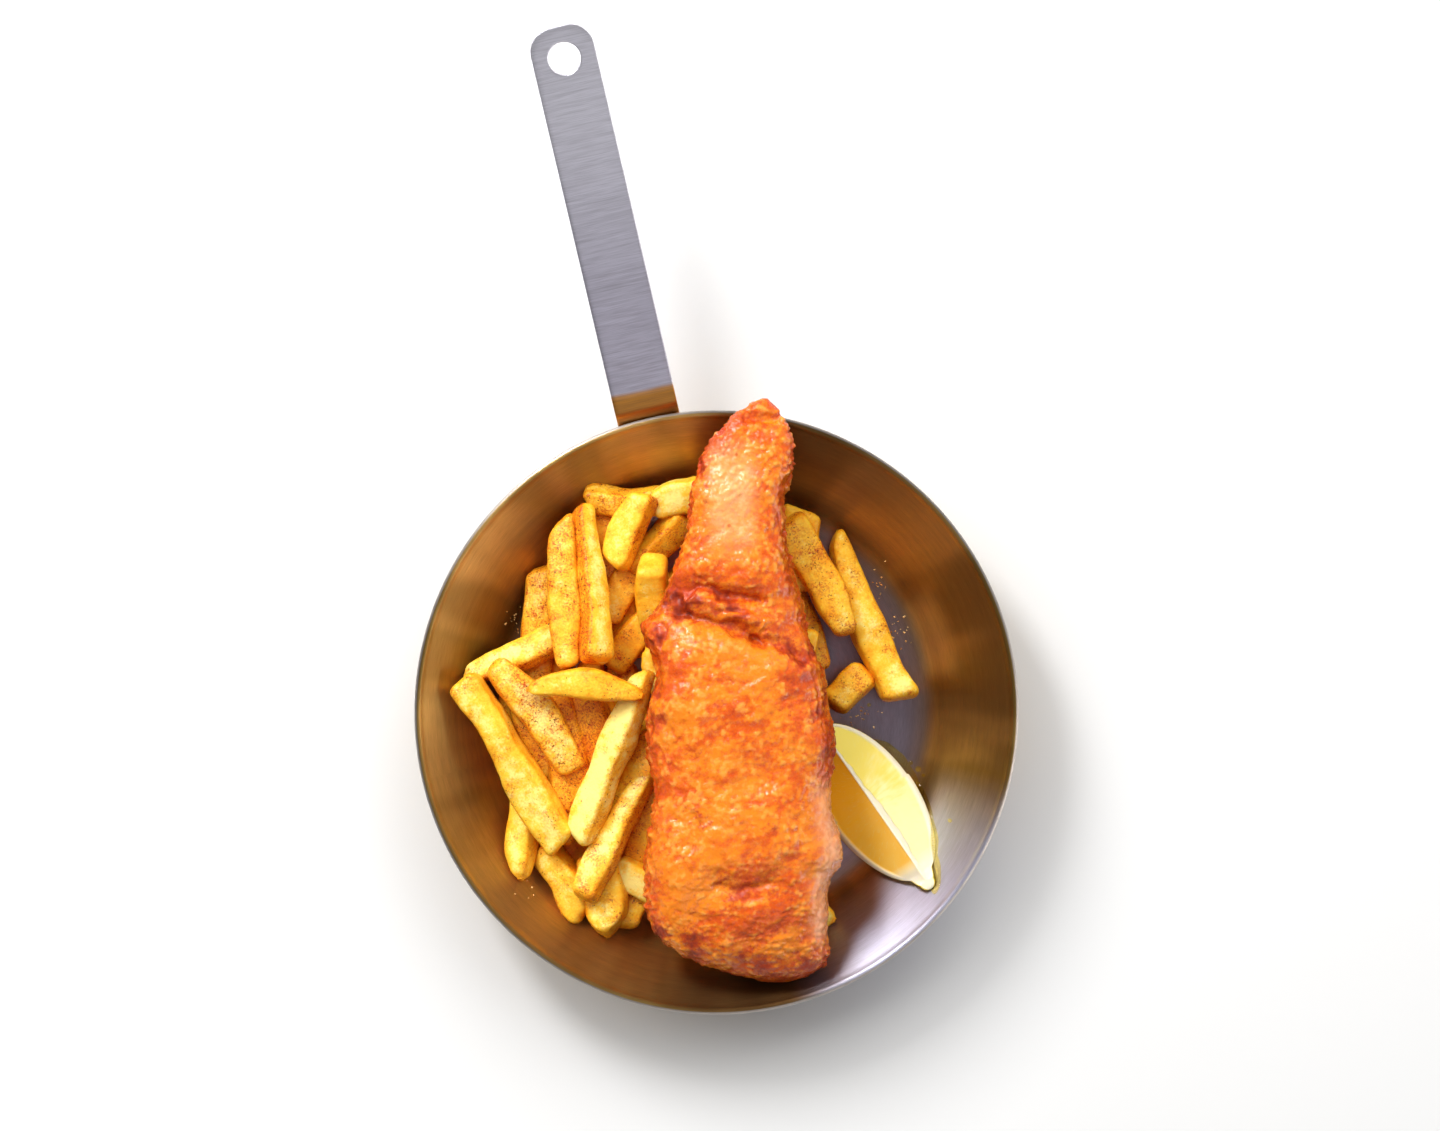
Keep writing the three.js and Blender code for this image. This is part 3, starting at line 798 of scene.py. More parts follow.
def evaluated(made: bpy.types.Object) -> bpy.types.Mesh:
    """What an object's modifiers make of it, as a plain mesh."""
    bpy.context.view_layer.update()
    return bpy.data.meshes.new_from_object(made.evaluated_get(bpy.context.evaluated_depsgraph_get()))


def piece(
    name: str, skin: Skin, material: bpy.types.Material, turn: float = SERVING_TURN, **numbers: Array
) -> bpy.types.Object:
    """Makes a mesh object at the origin.

    Args:
        name: The object's name.
        skin: Its points in millimetres and its faces.
        material: Its material.
        turn: The angle from the points' frame to the pan's.
        numbers: Numbers that the mesh holds at each point.

    Returns:
        The object.
    """
    mesh = bpy.data.meshes.new(name)
    mesh.from_pydata((turn_about_z(skin[0], turn) * MM).tolist(), [], skin[1])
    for key, values in numbers.items():
        mesh.attributes.new(key, "FLOAT", "POINT").data.foreach_set("value", values.astype(np.float32))
    mesh.shade_smooth()
    mesh.materials.append(material)
    mesh.validate()
    return linked(name, mesh)


def settle(made: bpy.types.Object, slot: Slot, *nodes: str) -> bpy.types.Object:
    """Dresses the frame with a piece.

    Args:
        made: The piece, which moves with the one body.
        slot: The material slot; not used.
        nodes: The frame's nodes it stands for.

    Returns:
        The piece.
    """
    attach(made, "root")
    if nodes:
        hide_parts(*nodes)
    return made


# ------------------------------------------------------------------------------------------ pan
@dataclass
class Pan:
    """The round pan: flat floor, rounded corner, a wall that flares a little to the top, a rolled edge."""

    rim_radius: float = 120.0
    rim_height: float = 40.0
    sheet: float = 2.2
    floor_radius: float = 88.0
    floor_round: float = 8.0
    flare: float = 1.2
    segments: int = 256
    floor_points: int = 34
    corner_points: int = 17
    wall_points: int = 26
    lip_points: int = 11
    clearance: float = 0.25
    finish: TintedSteel = field(default_factory=TintedSteel)

    @property
    def slope(self) -> float:
        """The wall's angle above the horizontal."""
        return math.atan2(self.rim_height - self.sheet, self.rim_radius - self.sheet - self.floor_radius)

    def line(self, outside: float) -> Array:
        """One face of the sheet.

        Args:
            outside: How far the face lies outside the inner one.

        Returns:
            Its points from the axis to the rim, as radius and height.
        """
        run, back = heading(self.slope), self.floor_round * math.tan(self.slope / 2)
        centre = np.array([self.floor_radius - back, self.sheet + self.floor_round])
        angles = -math.pi / 2 + self.slope * np.linspace(0.0, 1.0, self.corner_points)
        corner = centre + (self.floor_round + outside) * np.stack([np.cos(angles), np.sin(angles)], axis=1)
        length = (self.rim_height - self.sheet / 2 - corner[-1, 1]) / run[1]
        share = np.linspace(0.0, 1.0, self.wall_points)[1:, None]
        arch = self.flare * 4 * share * (1 - share)
        wall = corner[-1] + length * share * run + arch * np.array([-run[1], run[0]])
        flat = np.linspace(0.0, corner[0, 0], self.floor_points)[:-1]
        return np.vstack([np.stack([flat, np.full_like(flat, self.sheet - outside)], axis=1), corner, wall])

    def ground(self, points: Array) -> Array:
        """The height of the inner surface at each point, of which only x and y are read."""
        line = self.line(0.0)
        return np.interp(np.hypot(points[..., 0], points[..., 1]), line[:, 0], line[:, 1])

    def rested(self, points: Array) -> Array:
        """The points, with those that are too low raised to lie on the pan."""
        points[:, 2] = np.maximum(points[:, 2], self.ground(points) + self.clearance)
        return points

    def build(self) -> bpy.types.Object:
        """Builds and dresses the pan."""
        outer, inner = self.line(self.sheet), self.line(0.0)
        half_turn = np.linspace(0.0, math.pi, self.lip_points)[1:-1]
        lip = arc((outer[-1] + inner[-1]) / 2, outer[-1], half_turn)
        radius, height = np.vstack([outer[1:], lip, inner[:0:-1]]).T[..., None]
        turn = np.linspace(0.0, 2 * math.pi, self.segments, endpoint=False)
        rings = np.broadcast_arrays(radius * np.cos(turn), radius * np.sin(turn), height)
        ends = np.array([[0.0, 0.0, outer[0, 1]], [0.0, 0.0, inner[0, 1]]])
        made = piece("pan_shell", tube(np.stack(rings, axis=-1), ends), self.finish.material(), 0.0)
        return settle(made, Slot.PAN, "pan_body")


@dataclass
class Handle:
    """The strip handle: a leg down the wall, a bend over the rim and a grip that rises to its hole."""

    pan: Pan
    width: float = 25.0
    strip: float = 3.0
    gap: float = 0.3
    rise: float = math.radians(16.0)
    bend_radius: float = 2.5
    over_rim: float = 3.67
    leg: float = 24.0
    tip_radius: float = 272.0
    tip_round: float = 9.5
    hole_radius: float = 6.3
    hole_from_tip: float = 12.6
    edge_round: float = 0.5
    columns: int = 13
    rows: int = 260
    bend_points: int = 19
    tip_spokes: int = 35
    weld: float = 0.05
    solid_edge: float = math.radians(50)
    sharp_edge: float = math.radians(40)
    hole_rings: tuple[float, ...] = (0.0, 0.12, 0.3, 0.6, 1.0)
    finish: BrushedSteel = field(default_factory=BrushedSteel)

    def middle_line(self) -> Array:
        """The strip's middle line from the foot of the leg to the tip, as radius and height."""
        slope = self.pan.slope
        run = heading(slope)
        end = self.pan.line(self.pan.sheet + self.gap + self.strip / 2)[-1]
        start = end + (self.over_rim - self.bend_radius * math.tan((slope - self.rise) / 2)) * run
        centre = start + self.bend_radius * np.array([run[1], -run[0]])
        bend = arc(centre, start, np.linspace(0.0, self.rise - slope, self.bend_points))
        reach = (self.tip_radius - bend[-1, 0]) / math.cos(self.rise)
        return np.vstack([end - self.leg * run, bend, bend[-1] + reach * heading(self.rise)])

    def _outline(self, c: float, s: float) -> float:
        """How far the tip's outline is from the hole's middle.

        Args:
            c: The cosine of the direction it is measured in.
            s: Its sine.

        Returns:
            The distance.
        """
        half, round_ = self.width / 2, self.tip_round
        far = min(half / max(abs(c), 1e-9), (half if s < 0 else self.hole_from_tip) / max(abs(s), 1e-9))
        cx, cy = half - round_, self.hole_from_tip - round_
        if s > 0 and abs(c) * far > cx and s * far > cy:
            b = abs(c) * cx + s * cy
            far = b + math.sqrt(max(b * b - (cx * cx + cy * cy - round_ * round_), 0.0))
        return far

    def _flat(self, length: float) -> bpy.types.Object:
        """The strip laid flat, with modifiers that make it solid and round its edges.

        Args:
            length: Its length along the middle line.

        Returns:
            The strip, across along X and from the foot at y = 0.
        """
        half, hole_y = self.width / 2, length - self.hole_from_tip
        columns = np.linspace(-half, half, self.columns)
        points = [(x, y) for y in np.linspace(0.0, hole_y - half, self.rows) for x in columns]
        faces = grid_faces(self.columns, self.rows)
        # Round the hole: spokes from the hole's edge to the outline of the tip, met by the columns below it.
        over = np.linspace(-math.pi / 4, 5 * math.pi / 4, self.tip_spokes + 2)[1:-1]
        spokes = [heading(angle).tolist() for angle in [math.atan2(-half, x) for x in columns] + list(over)]
        first, count = len(points), len(spokes)
        for share in self.hole_rings:
            for c, s in spokes:
                far = self.hole_radius + share * (self._outline(c, s) - self.hole_radius)
                points.append((c * far, hole_y + s * far))
        for ring in range(len(self.hole_rings) - 1):
            for k in range(count):
                a, b = (first + ring * count + side for side in (k, (k + 1) % count))
                faces.append((a, a + count, b + count, b))
        mesh = bpy.data.meshes.new("strip")
        mesh.from_pydata([(x * MM, y * MM, 0.0) for x, y in points], [], faces)
        flat = linked("strip", mesh)
        for kind, settings in (
            ("WELD", {"merge_threshold": self.weld * MM}),
            ("SOLIDIFY", {"thickness": self.strip * MM, "offset": 0.0}),
            ("BEVEL", {"width": self.edge_round * MM, "segments": 3, "angle_limit": self.solid_edge}),
        ):
            modifier = flat.modifiers.new(kind.lower(), kind)
            for key, value in settings.items():
                setattr(modifier, key, value)
        return flat

    def build(self) -> bpy.types.Object:
        """Builds and dresses the handle."""
        line = self.middle_line()
        steps = np.diff(line, axis=0)
        lengths = np.concatenate([[0.0], np.cumsum(np.linalg.norm(steps, axis=1))])
        flat = self._flat(lengths[-1])
        mesh = evaluated(flat)
        bpy.data.objects.remove(flat)
        co = np.zeros(len(mesh.vertices) * 3)
        mesh.vertices.foreach_get("co", co)
        across, along, up = (co.reshape(-1, 3) / MM).T
        place = np.stack([np.interp(along, lengths, line[:, i]) for i in (0, 1)], axis=1)
        turns = np.unwrap(np.arctan2(*steps.T[::-1]))
        turn = np.interp(along, (lengths[:-1] + lengths[1:]) / 2, turns)
        place += np.maximum(along - lengths[-1], 0.0)[:, None] * heading(self.rise)
        place += up[:, None] * np.stack([-np.sin(turn), np.cos(turn)], axis=1)
        skin = np.column_stack([across, place]), [tuple(face.vertices) for face in mesh.polygons]
        bpy.data.meshes.remove(mesh)
        made = piece("handle_strip", skin, self.finish.material(), 0.0)
        made.data.set_sharp_from_angle(angle=self.sharp_edge)
        return settle(made, Slot.HANDLE, "pan_handle")


# ------------------------------------------------------------------------------------------ chips
@dataclass(frozen=True)
class Chip:
    """One chip: the ends of its middle line, its section, and how it was fried and dusted.

    Swell multiplies its width and bend moves its middle line sideways, at even steps along it. Cuts slant
    its ends: the first one starts later and the second one reaches further on its right. Lean dusts its right
    side more and paints it deeper in tone as painted shade, or the other one where it is negative.
    """

    start: Point
    end: Point
    wide: float
    tall: float
    roll: float = 0.0
    bow: float = 0.0
    tips: tuple[float, float] = (0.85, 0.85)
    tone: float = 0.4
    spice: float = 0.4
    swell: tuple[float, ...] = ()
    bend: tuple[float, ...] = ()
    lean: float = 0.0
    cuts: tuple[float, float] = (0.0, 0.0)


HEAP_CHIPS = (
    # far side of the heap
    Chip((-52, 84.5, 21), (-19, 84, 21), 11, 10.5, 24, tips=(0.8, 1), tone=0.4, spice=0.7, cuts=(0.5, 0)),
    Chip((-26, 82.5, 24), (-4, 88, 24), 13, 11, 12, tips=(0.9, 1), tone=0.1, spice=0.25, cuts=(-0.3, 0)),
    Chip(
        (-28, 86.5, 30), (-41, 58, 27), 12, 9.5, 26, 1, (0.95, 0.85), 0.3, 0.3,
        (0.95, 1, 1.05, 1.05, 0.95), lean=-0.35,
    ),
    Chip((-47, 82, 15), (-43, 50, 14), 12, 11, tone=0.8, spice=0.6),
    Chip((-12, 79, 21), (-35, 55, 18), 12, 11, -35, tone=0.6, spice=0.7, lean=-0.3),
    Chip(
        (-61.5, 76.5, 26), (-58.5, 17.5, 31.5), 12.5, 11, 6, 1, (0.8, 0.9), 0.4, 0.65,
        (0.85, 1, 1.05, 0.95, 0.9), cuts=(0.7, 0.2),
    ),
    Chip(
        (-53.7, 82.5, 25), (-47.2, 19.5, 36.5), 10.3, 9.8, -38, 0, (0.8, 1), 0.2, 0.35,
        (0.72, 0.85, 0.98, 1.08, 1.15), lean=0.85, cuts=(0.1, -0.2),
    ),
    Chip((-70.8, 57.5, 14), (-72.8, 4, 12), 13, 12, 0, tips=(0.8, 1), tone=0.35, spice=0.8, cuts=(0.5, 0)),
    Chip((-31, 60, 17), (-46, 35.5, 15), 13, 11, -8, tips=(0.9, 0.8), tone=0.65, spice=0.55, cuts=(0, 0.3)),
    Chip((-25.4, 60, 36), (-26, 34, 20), 12.6, 12, 6, tips=(1, 0.6), tone=0.3, spice=0.1),
    Chip((-24.9, 41, 19), (-42.5, 16.4, 15), 12, 11, -6, tips=(0.8, 0.9), tone=0.65, spice=0.6),
    # middle
    Chip(
        (-101, 13.5, 25), (-60, 31.5, 20), 11.5, 10, -20, 0.5, (0.5, 1), 0.15, 0.5, lean=0.45, cuts=(-0.3, 0),
    ),
    Chip((-89, 19.5, 30.5), (-57, -24, 26), 14, 11, -8, -1.5, (0.7, 0.85), 0.15, 0.7, cuts=(0.3, 0)),
    Chip((-79, 8, 20), (-68, -28, 15), 12, 11, tone=0.5, spice=0.8),
    Chip((-75.5, 9, 38.5), (-29, 6.5, 42), 11.5, 10, 0, -3.5, (0.3, 0.3), tone=0.4, spice=0.4),
    Chip((-52, 12, 22), (-44, -26, 20), 14, 12, 10, tone=0.95, spice=1.0),
    Chip((-66, 12, 21), (-54, -32, 20), 13, 12, 4, tone=0.8, spice=0.85),
    Chip((-83, 8, 14), (-78, -22, 10), 12, 11, 10, tone=0.6, spice=0.7),
    Chip(
        (-28.3, 16.5, 35), (-54.8, -50.5, 31), 12.4, 11, 34, 0, (0.5, 1), -0.15, 0.1,
        lean=-0.4, cuts=(0.6, -0.15),
    ),
    Chip((-23, -8, 23), (-44, -50, 22), 13, 11, 20, tone=0.65, spice=0.6),
    Chip((-66, -4, 20), (-58, -42, 19), 12, 11, -12, tone=0.5, spice=0.9),
    # near side
    Chip(
        (-101.2, 12.5, 31), (-61, -52.8, 28), 14, 12, 12, 0, (0.95, 0.95), 0.2, 0.35,
        (1.08, 0.84, 0.9, 1.04, 1.14, 1.1), (0, -1, 0, 0.8, 0), cuts=(0.3, 0.2),
    ),
    Chip((-52, -22, 21), (-64, -52, 16), 13, 11, tone=0.5, spice=0.6),
    Chip((-76.5, -24, 13), (-78.3, -67.5, 26.5), 11.5, 13, 26, tips=(1, 0.4), tone=0.2, spice=0.3),
    Chip(
        (-26, -23.5, 26), (-53, -74.5, 33), 11.5, 10, 24, 1.5, (0.45, 0.9), 0.2, 0.5,
        (0.7, 0.85, 0.92, 1.08, 1.1), lean=-0.3, cuts=(0.5, 0.2),
    ),
    Chip(
        (-69.5, -55, 16), (-53, -82.5, 22), 12.5, 12, 20, tips=(0.9, 0.75), tone=0.3, spice=0.4,
        cuts=(0, 0.4),
    ),
    Chip((-47, -58, 20), (-43.5, -90, 25), 16, 12, 10, 0, (1, 1), 0.3, 0.5, (1, 1, 1, 1, 0.85, 0.25)),
    Chip((-41.5, -63, 21), (-14, -77, 21), 13, 11, 8, tone=0.1, spice=0.15),
    Chip((-29, -64, 13), (-37, -87.5, 19), 12, 11, tips=(1, 0.8), tone=0.4, spice=0.5),
    Chip((-27.5, 26, 26), (-22.5, 6, 22), 6.5, 7, 30, tips=(0.5, 1), tone=0.2, spice=0.2),
    # under the fillet's right side
    Chip((34, 80.5, 17), (35.5, 48, 15), 14.5, 11, 0, tips=(1, 1), tone=0.4, spice=0.4, cuts=(-0.6, 0)),
    Chip((8, 88, 20), (30, 44, 24), 12.5, 11),
    Chip((37, 33, 23), (23, -4, 23), 12, 11),
    Chip((38, -22, 9), (30, -66, 9), 13, 12),
    Chip((28, -18, 22), (38, -58, 23), 12, 10),
    Chip((18, -60, 22), (33, -88, 22), 12, 11),
    Chip((-16, -84, 21), (22, -92, 22), 12, 11),
    Chip((-20, -14, 17), (-32, -62, 17), 14, 11, 6, tone=0.5, spice=0.7),
)

LOOSE_CHIPS = {
    "chip_right_long": Chip(
        (48, 71.5, 10), (75.2, 4, 8.9), 13.4, 12, -12, 2.2, (0.65, 1), 0.3, 0.4,
        (0.66, 0.88, 0.98, 1.05, 1.1), cuts=(1.0, -0.15),
    ),
    "chip_right_stub": Chip(
        (46, 1.5, 8.8), (61.5, 15.5, 8.8), 13, 12, -12, tips=(1, 0.8), tone=0.4, spice=0.6,
    ),
    "chip_right_tucked": Chip((27, 54, 9), (42.5, 16, 9), 12, 12, tips=(1, 0.75), tone=0.4, spice=0.7),
    "chip_right_leaning": Chip(
        (27.5, 76.5, 23), (52.6, 30.5, 20.5), 14.5, 10, -6, -1, (1, 0.8), 0.42, 0.65,
        (1.05, 1.05, 1, 0.9, 0.82),
    ),
    "chip_near_tip": Chip((33, -78.5, 17), (47.6, -84.4, 18.5), 10, 9, tips=(1, 0.45), tone=0.1, spice=0.2),
}

# The middles in plan of chips at the bottom of the pile.
UNDER_PILE = (
    (-74, -40), (-60, -44), (-47, -48), (-34, -50), (-62, 2), (-48, 0), (-35, -2), (-52, 46), (-38, 40),
)


@dataclass
class ChipCutter:
    """Makes chips as rounded sticks with soft, slightly blistered faces.

    Hollows, ripples and blisters are each a depth and a size.
    """

    pan: Pan
    side_points: int = 6
    corner_points: int = 4
    step: float = 1.3
    end_round: float = 3.2
    end_rings: int = 5
    corner_share: float = 0.42
    pillow: float = 0.07
    cut_rings: tuple[float, ...] = (0.25, 0.55, 0.8)
    wave_length: float = 42.0
    wave_height: float = 0.065
    most_sway: float = 1.3
    most_twist: float = 14.0
    most_slant: float = 0.28
    hollows: tuple[float, float] = (0.5, 9.0)
    ripples: tuple[float, float] = (0.26, 4.0)
    blisters: tuple[float, float] = (0.1, 2.6)
    lean_shade: float = 0.65
    grain: Grain = field(default_factory=lambda: Grain(11))

    def _section(self) -> tuple[Array, Array]:
        """A chip's section.

        Returns:
            Its unit corners and its outward directions, point by point.
        """
        corners, outs = [], []
        square = ((1, 1), (-1, 1), (-1, -1), (1, -1))
        quarter = np.linspace(0.0, math.pi / 2, self.corner_points + 1)
        for turn, (sx, sy) in enumerate(square):
            for angle in turn * math.pi / 2 + quarter:
                corners.append((sx, sy))
                outs.append((math.cos(angle), math.sin(angle)))
            nx, ny = outs[-1]
            tx, ty = square[(turn + 1) % 4]
            for k in range(1, self.side_points):
                share = k / self.side_points
                crown = 4 * self.pillow * share * (1 - share)
                corners.append((sx + share * (tx - sx) + crown * nx, sy + share * (ty - sy) + crown * ny))
                outs.append((nx, ny))
        return np.array(corners, float), np.array(outs)

    def _stations(self, length: float) -> tuple[Array, Array]:
        """The rings of a chip: close ones round both ends, then closing ones on the cut faces.

        Args:
            length: The chip's length.

        Returns:
            Their distances along it and how open they are, as columns.
        """
        near = self.end_round * (1 - np.cos(np.linspace(0.0, math.pi / 2, self.end_rings + 1)[:-1]))
        body = np.linspace(self.end_round, length - self.end_round, max(int(length / self.step), 4))
        full, cut = np.concatenate([near, body, length - near[::-1]]), np.array(self.cut_rings)
        d = np.concatenate([np.zeros(len(cut)), full, np.full(len(cut), length)])
        return d[:, None], np.concatenate([cut, np.ones(len(full)), cut[::-1]])[:, None]

    @staticmethod
    def _along(values: Sequence[float], share: Array, plain: float) -> Array:
        """Values at even steps along a chip, read smoothly.

        Args:
            values: The values, or none.
            share: Where they are read, a column from 0 to 1.
            plain: The value where there are none.

        Returns:
            The value at each share, as a column.
        """
        if not values:
            return np.full_like(share, plain)
        return hermite(np.column_stack([np.linspace(0.0, -1.0, len(values)), values]), -share[:, 0])

    def stick(self, chip: Chip, seed: int) -> tuple[Skin, dict[str, Array]]:
        """One chip.

        Args:
            chip: The chip.
            seed: What makes its blisters its own.

        Returns:
            Its points and faces, and at each point its tone and spice, how near an edge it is and how far
            it is turned to the side.
        """
        draw = np.random.default_rng(seed)
        start, end = np.array(chip.start, float), np.array(chip.end, float)
        length = float(np.linalg.norm(end - start))
        axis = (end - start) / length
        level = unit(np.cross(axis, [0.0, 0.0, 1.0]))
        roll = math.radians(chip.roll)
        across = level * math.cos(roll) + np.cross(axis, level) * math.sin(roll)
        up = np.cross(across, axis)
        corners, outs = self._section()

        # How thick the chip is at each ring.
        d, cap = self._stations(length)
        t = d / length
        middle = 1 - np.abs(2 * t - 1) ** 2
        tip = chip.tips[0] + (chip.tips[1] - chip.tips[0]) * t
        size = tip + (1 - tip) * middle
        from_end = np.minimum(d, length - d)
        short = np.maximum(self.end_round - from_end, 0)
        inset = self.end_round - np.sqrt(np.maximum(self.end_round**2 - short**2, 0))
        waves = draw.uniform(0.7, 1.5, 2) * length / self.wave_length
        starts = draw.uniform(0, 1, 2)
        sway = draw.uniform(-self.most_sway, self.most_sway)
        sway = sway * np.sin(2 * math.pi * (draw.uniform(0.6, 1.1) * t + draw.uniform(0, 1)))
        thick, deep = (
            1 + self.wave_height * np.sin(2 * math.pi * (w * t + o)) for w, o in zip(waves, starts)
        )
        half_wide = np.maximum(chip.wide / 2 * size * thick * self._along(chip.swell, t, 1.0) - inset, 1.0)
        half_tall = np.maximum(chip.tall / 2 * size * deep - inset, 1.0)
        radius = self.corner_share * np.minimum(half_wide, half_tall)

        # Its section at each ring, slanted at the cuts, twisted and bent.
        twist = math.radians(draw.uniform(-self.most_twist, self.most_twist)) * (t - 0.5)
        x = (corners[:, 0] * (half_wide - radius) + outs[:, 0] * radius) * cap
        y = (corners[:, 1] * (half_tall - radius) + outs[:, 1] * radius) * cap
        slant = draw.uniform(-self.most_slant, self.most_slant, size=(2, 2))
        slant[:, 0] += chip.cuts
        skew = (1 - t) ** 6 * slant[0] + t**6 * slant[1]
        lengthwise = d + x * skew[:, :1] + y * skew[:, 1:]
        c, s = np.cos(twist), np.sin(twist)
        x, y = x * c - y * s, x * s + y * c
        x = x + (chip.bow * middle + self._along(chip.bend, t, 0.0) + sway * middle)
        grid = start + lengthwise[..., None] * axis + x[..., None] * across + y[..., None] * up
        points, faces = tube(grid)

        # Blisters and hollows push along the section's own directions, and along the axis on the cut ends.
        away = outs[:, :1] * across + outs[:, 1:] * up
        on_end = np.clip(1 - from_end / self.end_round, 0, 1)
        toward = np.where(t < 0.5, -1.0, 1.0)[..., None] * axis
        facing = capped(-axis, unit(away * (1 - on_end[..., None]) + toward * on_end[..., None]), axis)
        shift = points + 500.0 * draw.random(3)
        (hollow, wide), (ripple, narrow), (blister, round_) = self.hollows, self.ripples, self.blisters
        relief = hollow * self.grain.smooth(shift, wide) + ripple * self.grain.fractal(shift, narrow)
        relief += blister * (self.grain.bubbles(shift, round_) - 0.4)
        points = points + facing * relief[:, None]
        corner = np.minimum(np.minimum(np.abs(corners[:, 0]), np.abs(corners[:, 1])), 1.0) ** 2.5
        leaning = capped(0.0, np.broadcast_to(outs[:, 0], x.shape), 0.0)
        numbers = {
            "edge": capped(1.0, np.maximum(corner, on_end), 1.0),
            # side: how far a face turns from the top, painted deeper orange in the finish as painted shade.
            "side": smooth(0.95, 0.1, facing[:, 2]),
            # The leaning side is deeper in tone as painted shade, and dusted more.
            "tone": chip.tone + self.lean_shade * chip.lean * leaning,
            "spice": np.clip(chip.spice + chip.lean * leaning, 0.0, 1.0),
        }
        return (self.pan.rested(points), faces), numbers

    def pile(self, chips: Sequence[Chip], seed: int) -> tuple[Skin, dict[str, Array]]:
        """Several chips as one skin.

        Args:
            chips: The chips.
            seed: The first chip's seed; each next chip's is one more.

        Returns:
            The points and faces, and the numbers of each point.
        """
        skins, numbers = zip(*(self.stick(chip, seed + i) for i, chip in enumerate(chips)))
        return joined(skins), {key: np.concatenate([n[key] for n in numbers]) for key in numbers[0]}


@dataclass
class Chips:
    """Every chip of the serving: the heap, what fills it inside, and the loose ones."""

    pan: Pan
    lying: float = 8.6
    crossing: float = 21.5
    crossing_step: float = 13.4
    under_pile: float = 8.4
    out_of_line: float = 1.5
    finish: FriedPotato = field(default_factory=FriedPotato)

    def _inner(self) -> list[Chip]:
        """Chips inside the heap, in two crossing layers under the fillet and one under the pile."""
        ends = [
            ((x, high, self.lying), (x + 1.5, low, self.lying))
            for x in (-15.0, -2.0, 11.0)
            for low, high in ((-86, -38), (-34, 14), (18, 60))
        ]
        for i, y in enumerate(np.arange(-84.0, 62.0, self.crossing_step)):
            left, right = (-19.0, 25.0) if y < 30 else (-12.0, 20.0)
            ends.append(((left, y, self.crossing), (right, y + (3.0 if i % 2 else -3.0), self.crossing)))
        for x, y in UNDER_PILE:
            ends.append(((x - 4.0, y + 20.0, self.under_pile), (x + 6.0, y - 18.0, self.under_pile)))
        draw, made = np.random.default_rng(5), []
        for pair in ends:
            jog = draw.uniform(-self.out_of_line, self.out_of_line, size=(2, 3)) * (1, 1, 0.4)
            start, end = np.array(pair) + jog
            wide, tall, roll = draw.uniform(11.5, 13.0), draw.uniform(10.5, 12.0), draw.uniform(-15, 15)
            tone, spice = draw.uniform(0.5, 0.9), draw.uniform(0.2, 0.6)
            made.append(Chip(tuple(start), tuple(end), wide, tall, roll, tone=tone, spice=spice))
        return made

    def build(self) -> list[bpy.types.Object]:
        """Builds and dresses the chips."""
        cutter, material = ChipCutter(self.pan), self.finish.material()
        piles = [
            ("heap_of_chips", HEAP_CHIPS, 100, ["chips_heap"]),
            ("chips_inside_heap", self._inner(), 300, []),
        ]
        for i, (node, chip) in enumerate(LOOSE_CHIPS.items()):
            piles.append(("loose_" + node, [chip], 200 + i, [node]))
        made = []
        for name, chips, seed, nodes in piles:
            skin, numbers = cutter.pile(chips, seed)
            made.append(settle(piece(name, skin, material, **numbers), Slot.POTATO, *nodes))
        return made


# ------------------------------------------------------------------------------------------ fillet
FILLET_FLOOR = 29.0

# Stations from the tail tip to the thick end: y, left edge, right edge, underside, top.
FILLET_STATIONS = np.array(
    [
        (124.5, 14.5, 24, 44, 50),
        (119, 8, 25, 41.8, 52),
        (112, 2, 28, 41, 54),
        (103, -5.5, 30.5, 39.5, 55.5),
        (95, -8, 29.5, 37.5, 56.5),
        (86, -11, 26.5, 35, 58),
        (72, -11.5, 27.5, 32, 58.5),
        (62, -16, 29.5, 30.2, 58.5),
        (50, -20, 32, FILLET_FLOOR, 58.5),
        (40, -25, 34.5, FILLET_FLOOR, 57),
        (34, -30, 36, FILLET_FLOOR, 58),
        (26, -27.5, 38.5, FILLET_FLOOR, 60.5),
        (17, -24.5, 42.5, FILLET_FLOOR, 62),
        (0, -27, 44.5, FILLET_FLOOR, 62.5),
        (-13, -28.5, 47.5, FILLET_FLOOR, 62),
        (-26, -25, 45.5, FILLET_FLOOR, 61.5),
        (-40, -26, 47, FILLET_FLOOR, 62.5),
        (-56, -29, 49.5, FILLET_FLOOR, 62.5),
        (-68, -29.5, 45.5, FILLET_FLOOR, 61),
        (-81, -28.5, 44.5, FILLET_FLOOR, 58.5),
        (-91, -21, 44, FILLET_FLOOR + 0.5, 54.5),
        (-99, -8, 44, FILLET_FLOOR + 1, 49),
        (-104, 3, 42, FILLET_FLOOR + 1.5, 45.5),
        (-107.5, 11, 38, FILLET_FLOOR + 2, 42),
    ],
    float,
)


@dataclass(frozen=True)
class Crease:
    """A crease in the batter: its line in plan, its depth and its width; a negative depth is a roll."""

    line: tuple[tuple[float, float], ...]
    depth: float
    width: float

    def near(self, points: Array, wider: float = 1.0) -> Array:
        """How near points are to the line, 1 on it; wider is what its width is multiplied by."""
        return bell(distance_to_line(self.line, points), wider * self.width)


CREASES = (
    Crease(((-15, 46), (-7, 51), (4, 46.5), (16, 44.5)), 2.6, 4),
    Crease(((-15, 40), (-3, 35), (8, 33), (15, 30)), 3.0, 4),
    Crease(((17, 29), (27, 27), (33, 23)), 2.6, 4),
    Crease(((0, -67), (12, -69), (20, -66)), 1.6, 5),
    Crease(((12, 117.5), (18, 116.5), (25, 116)), 2.2, 2.6),
    Crease(((-12, 44), (2, 41), (14, 37.5)), -1.6, 4),
)

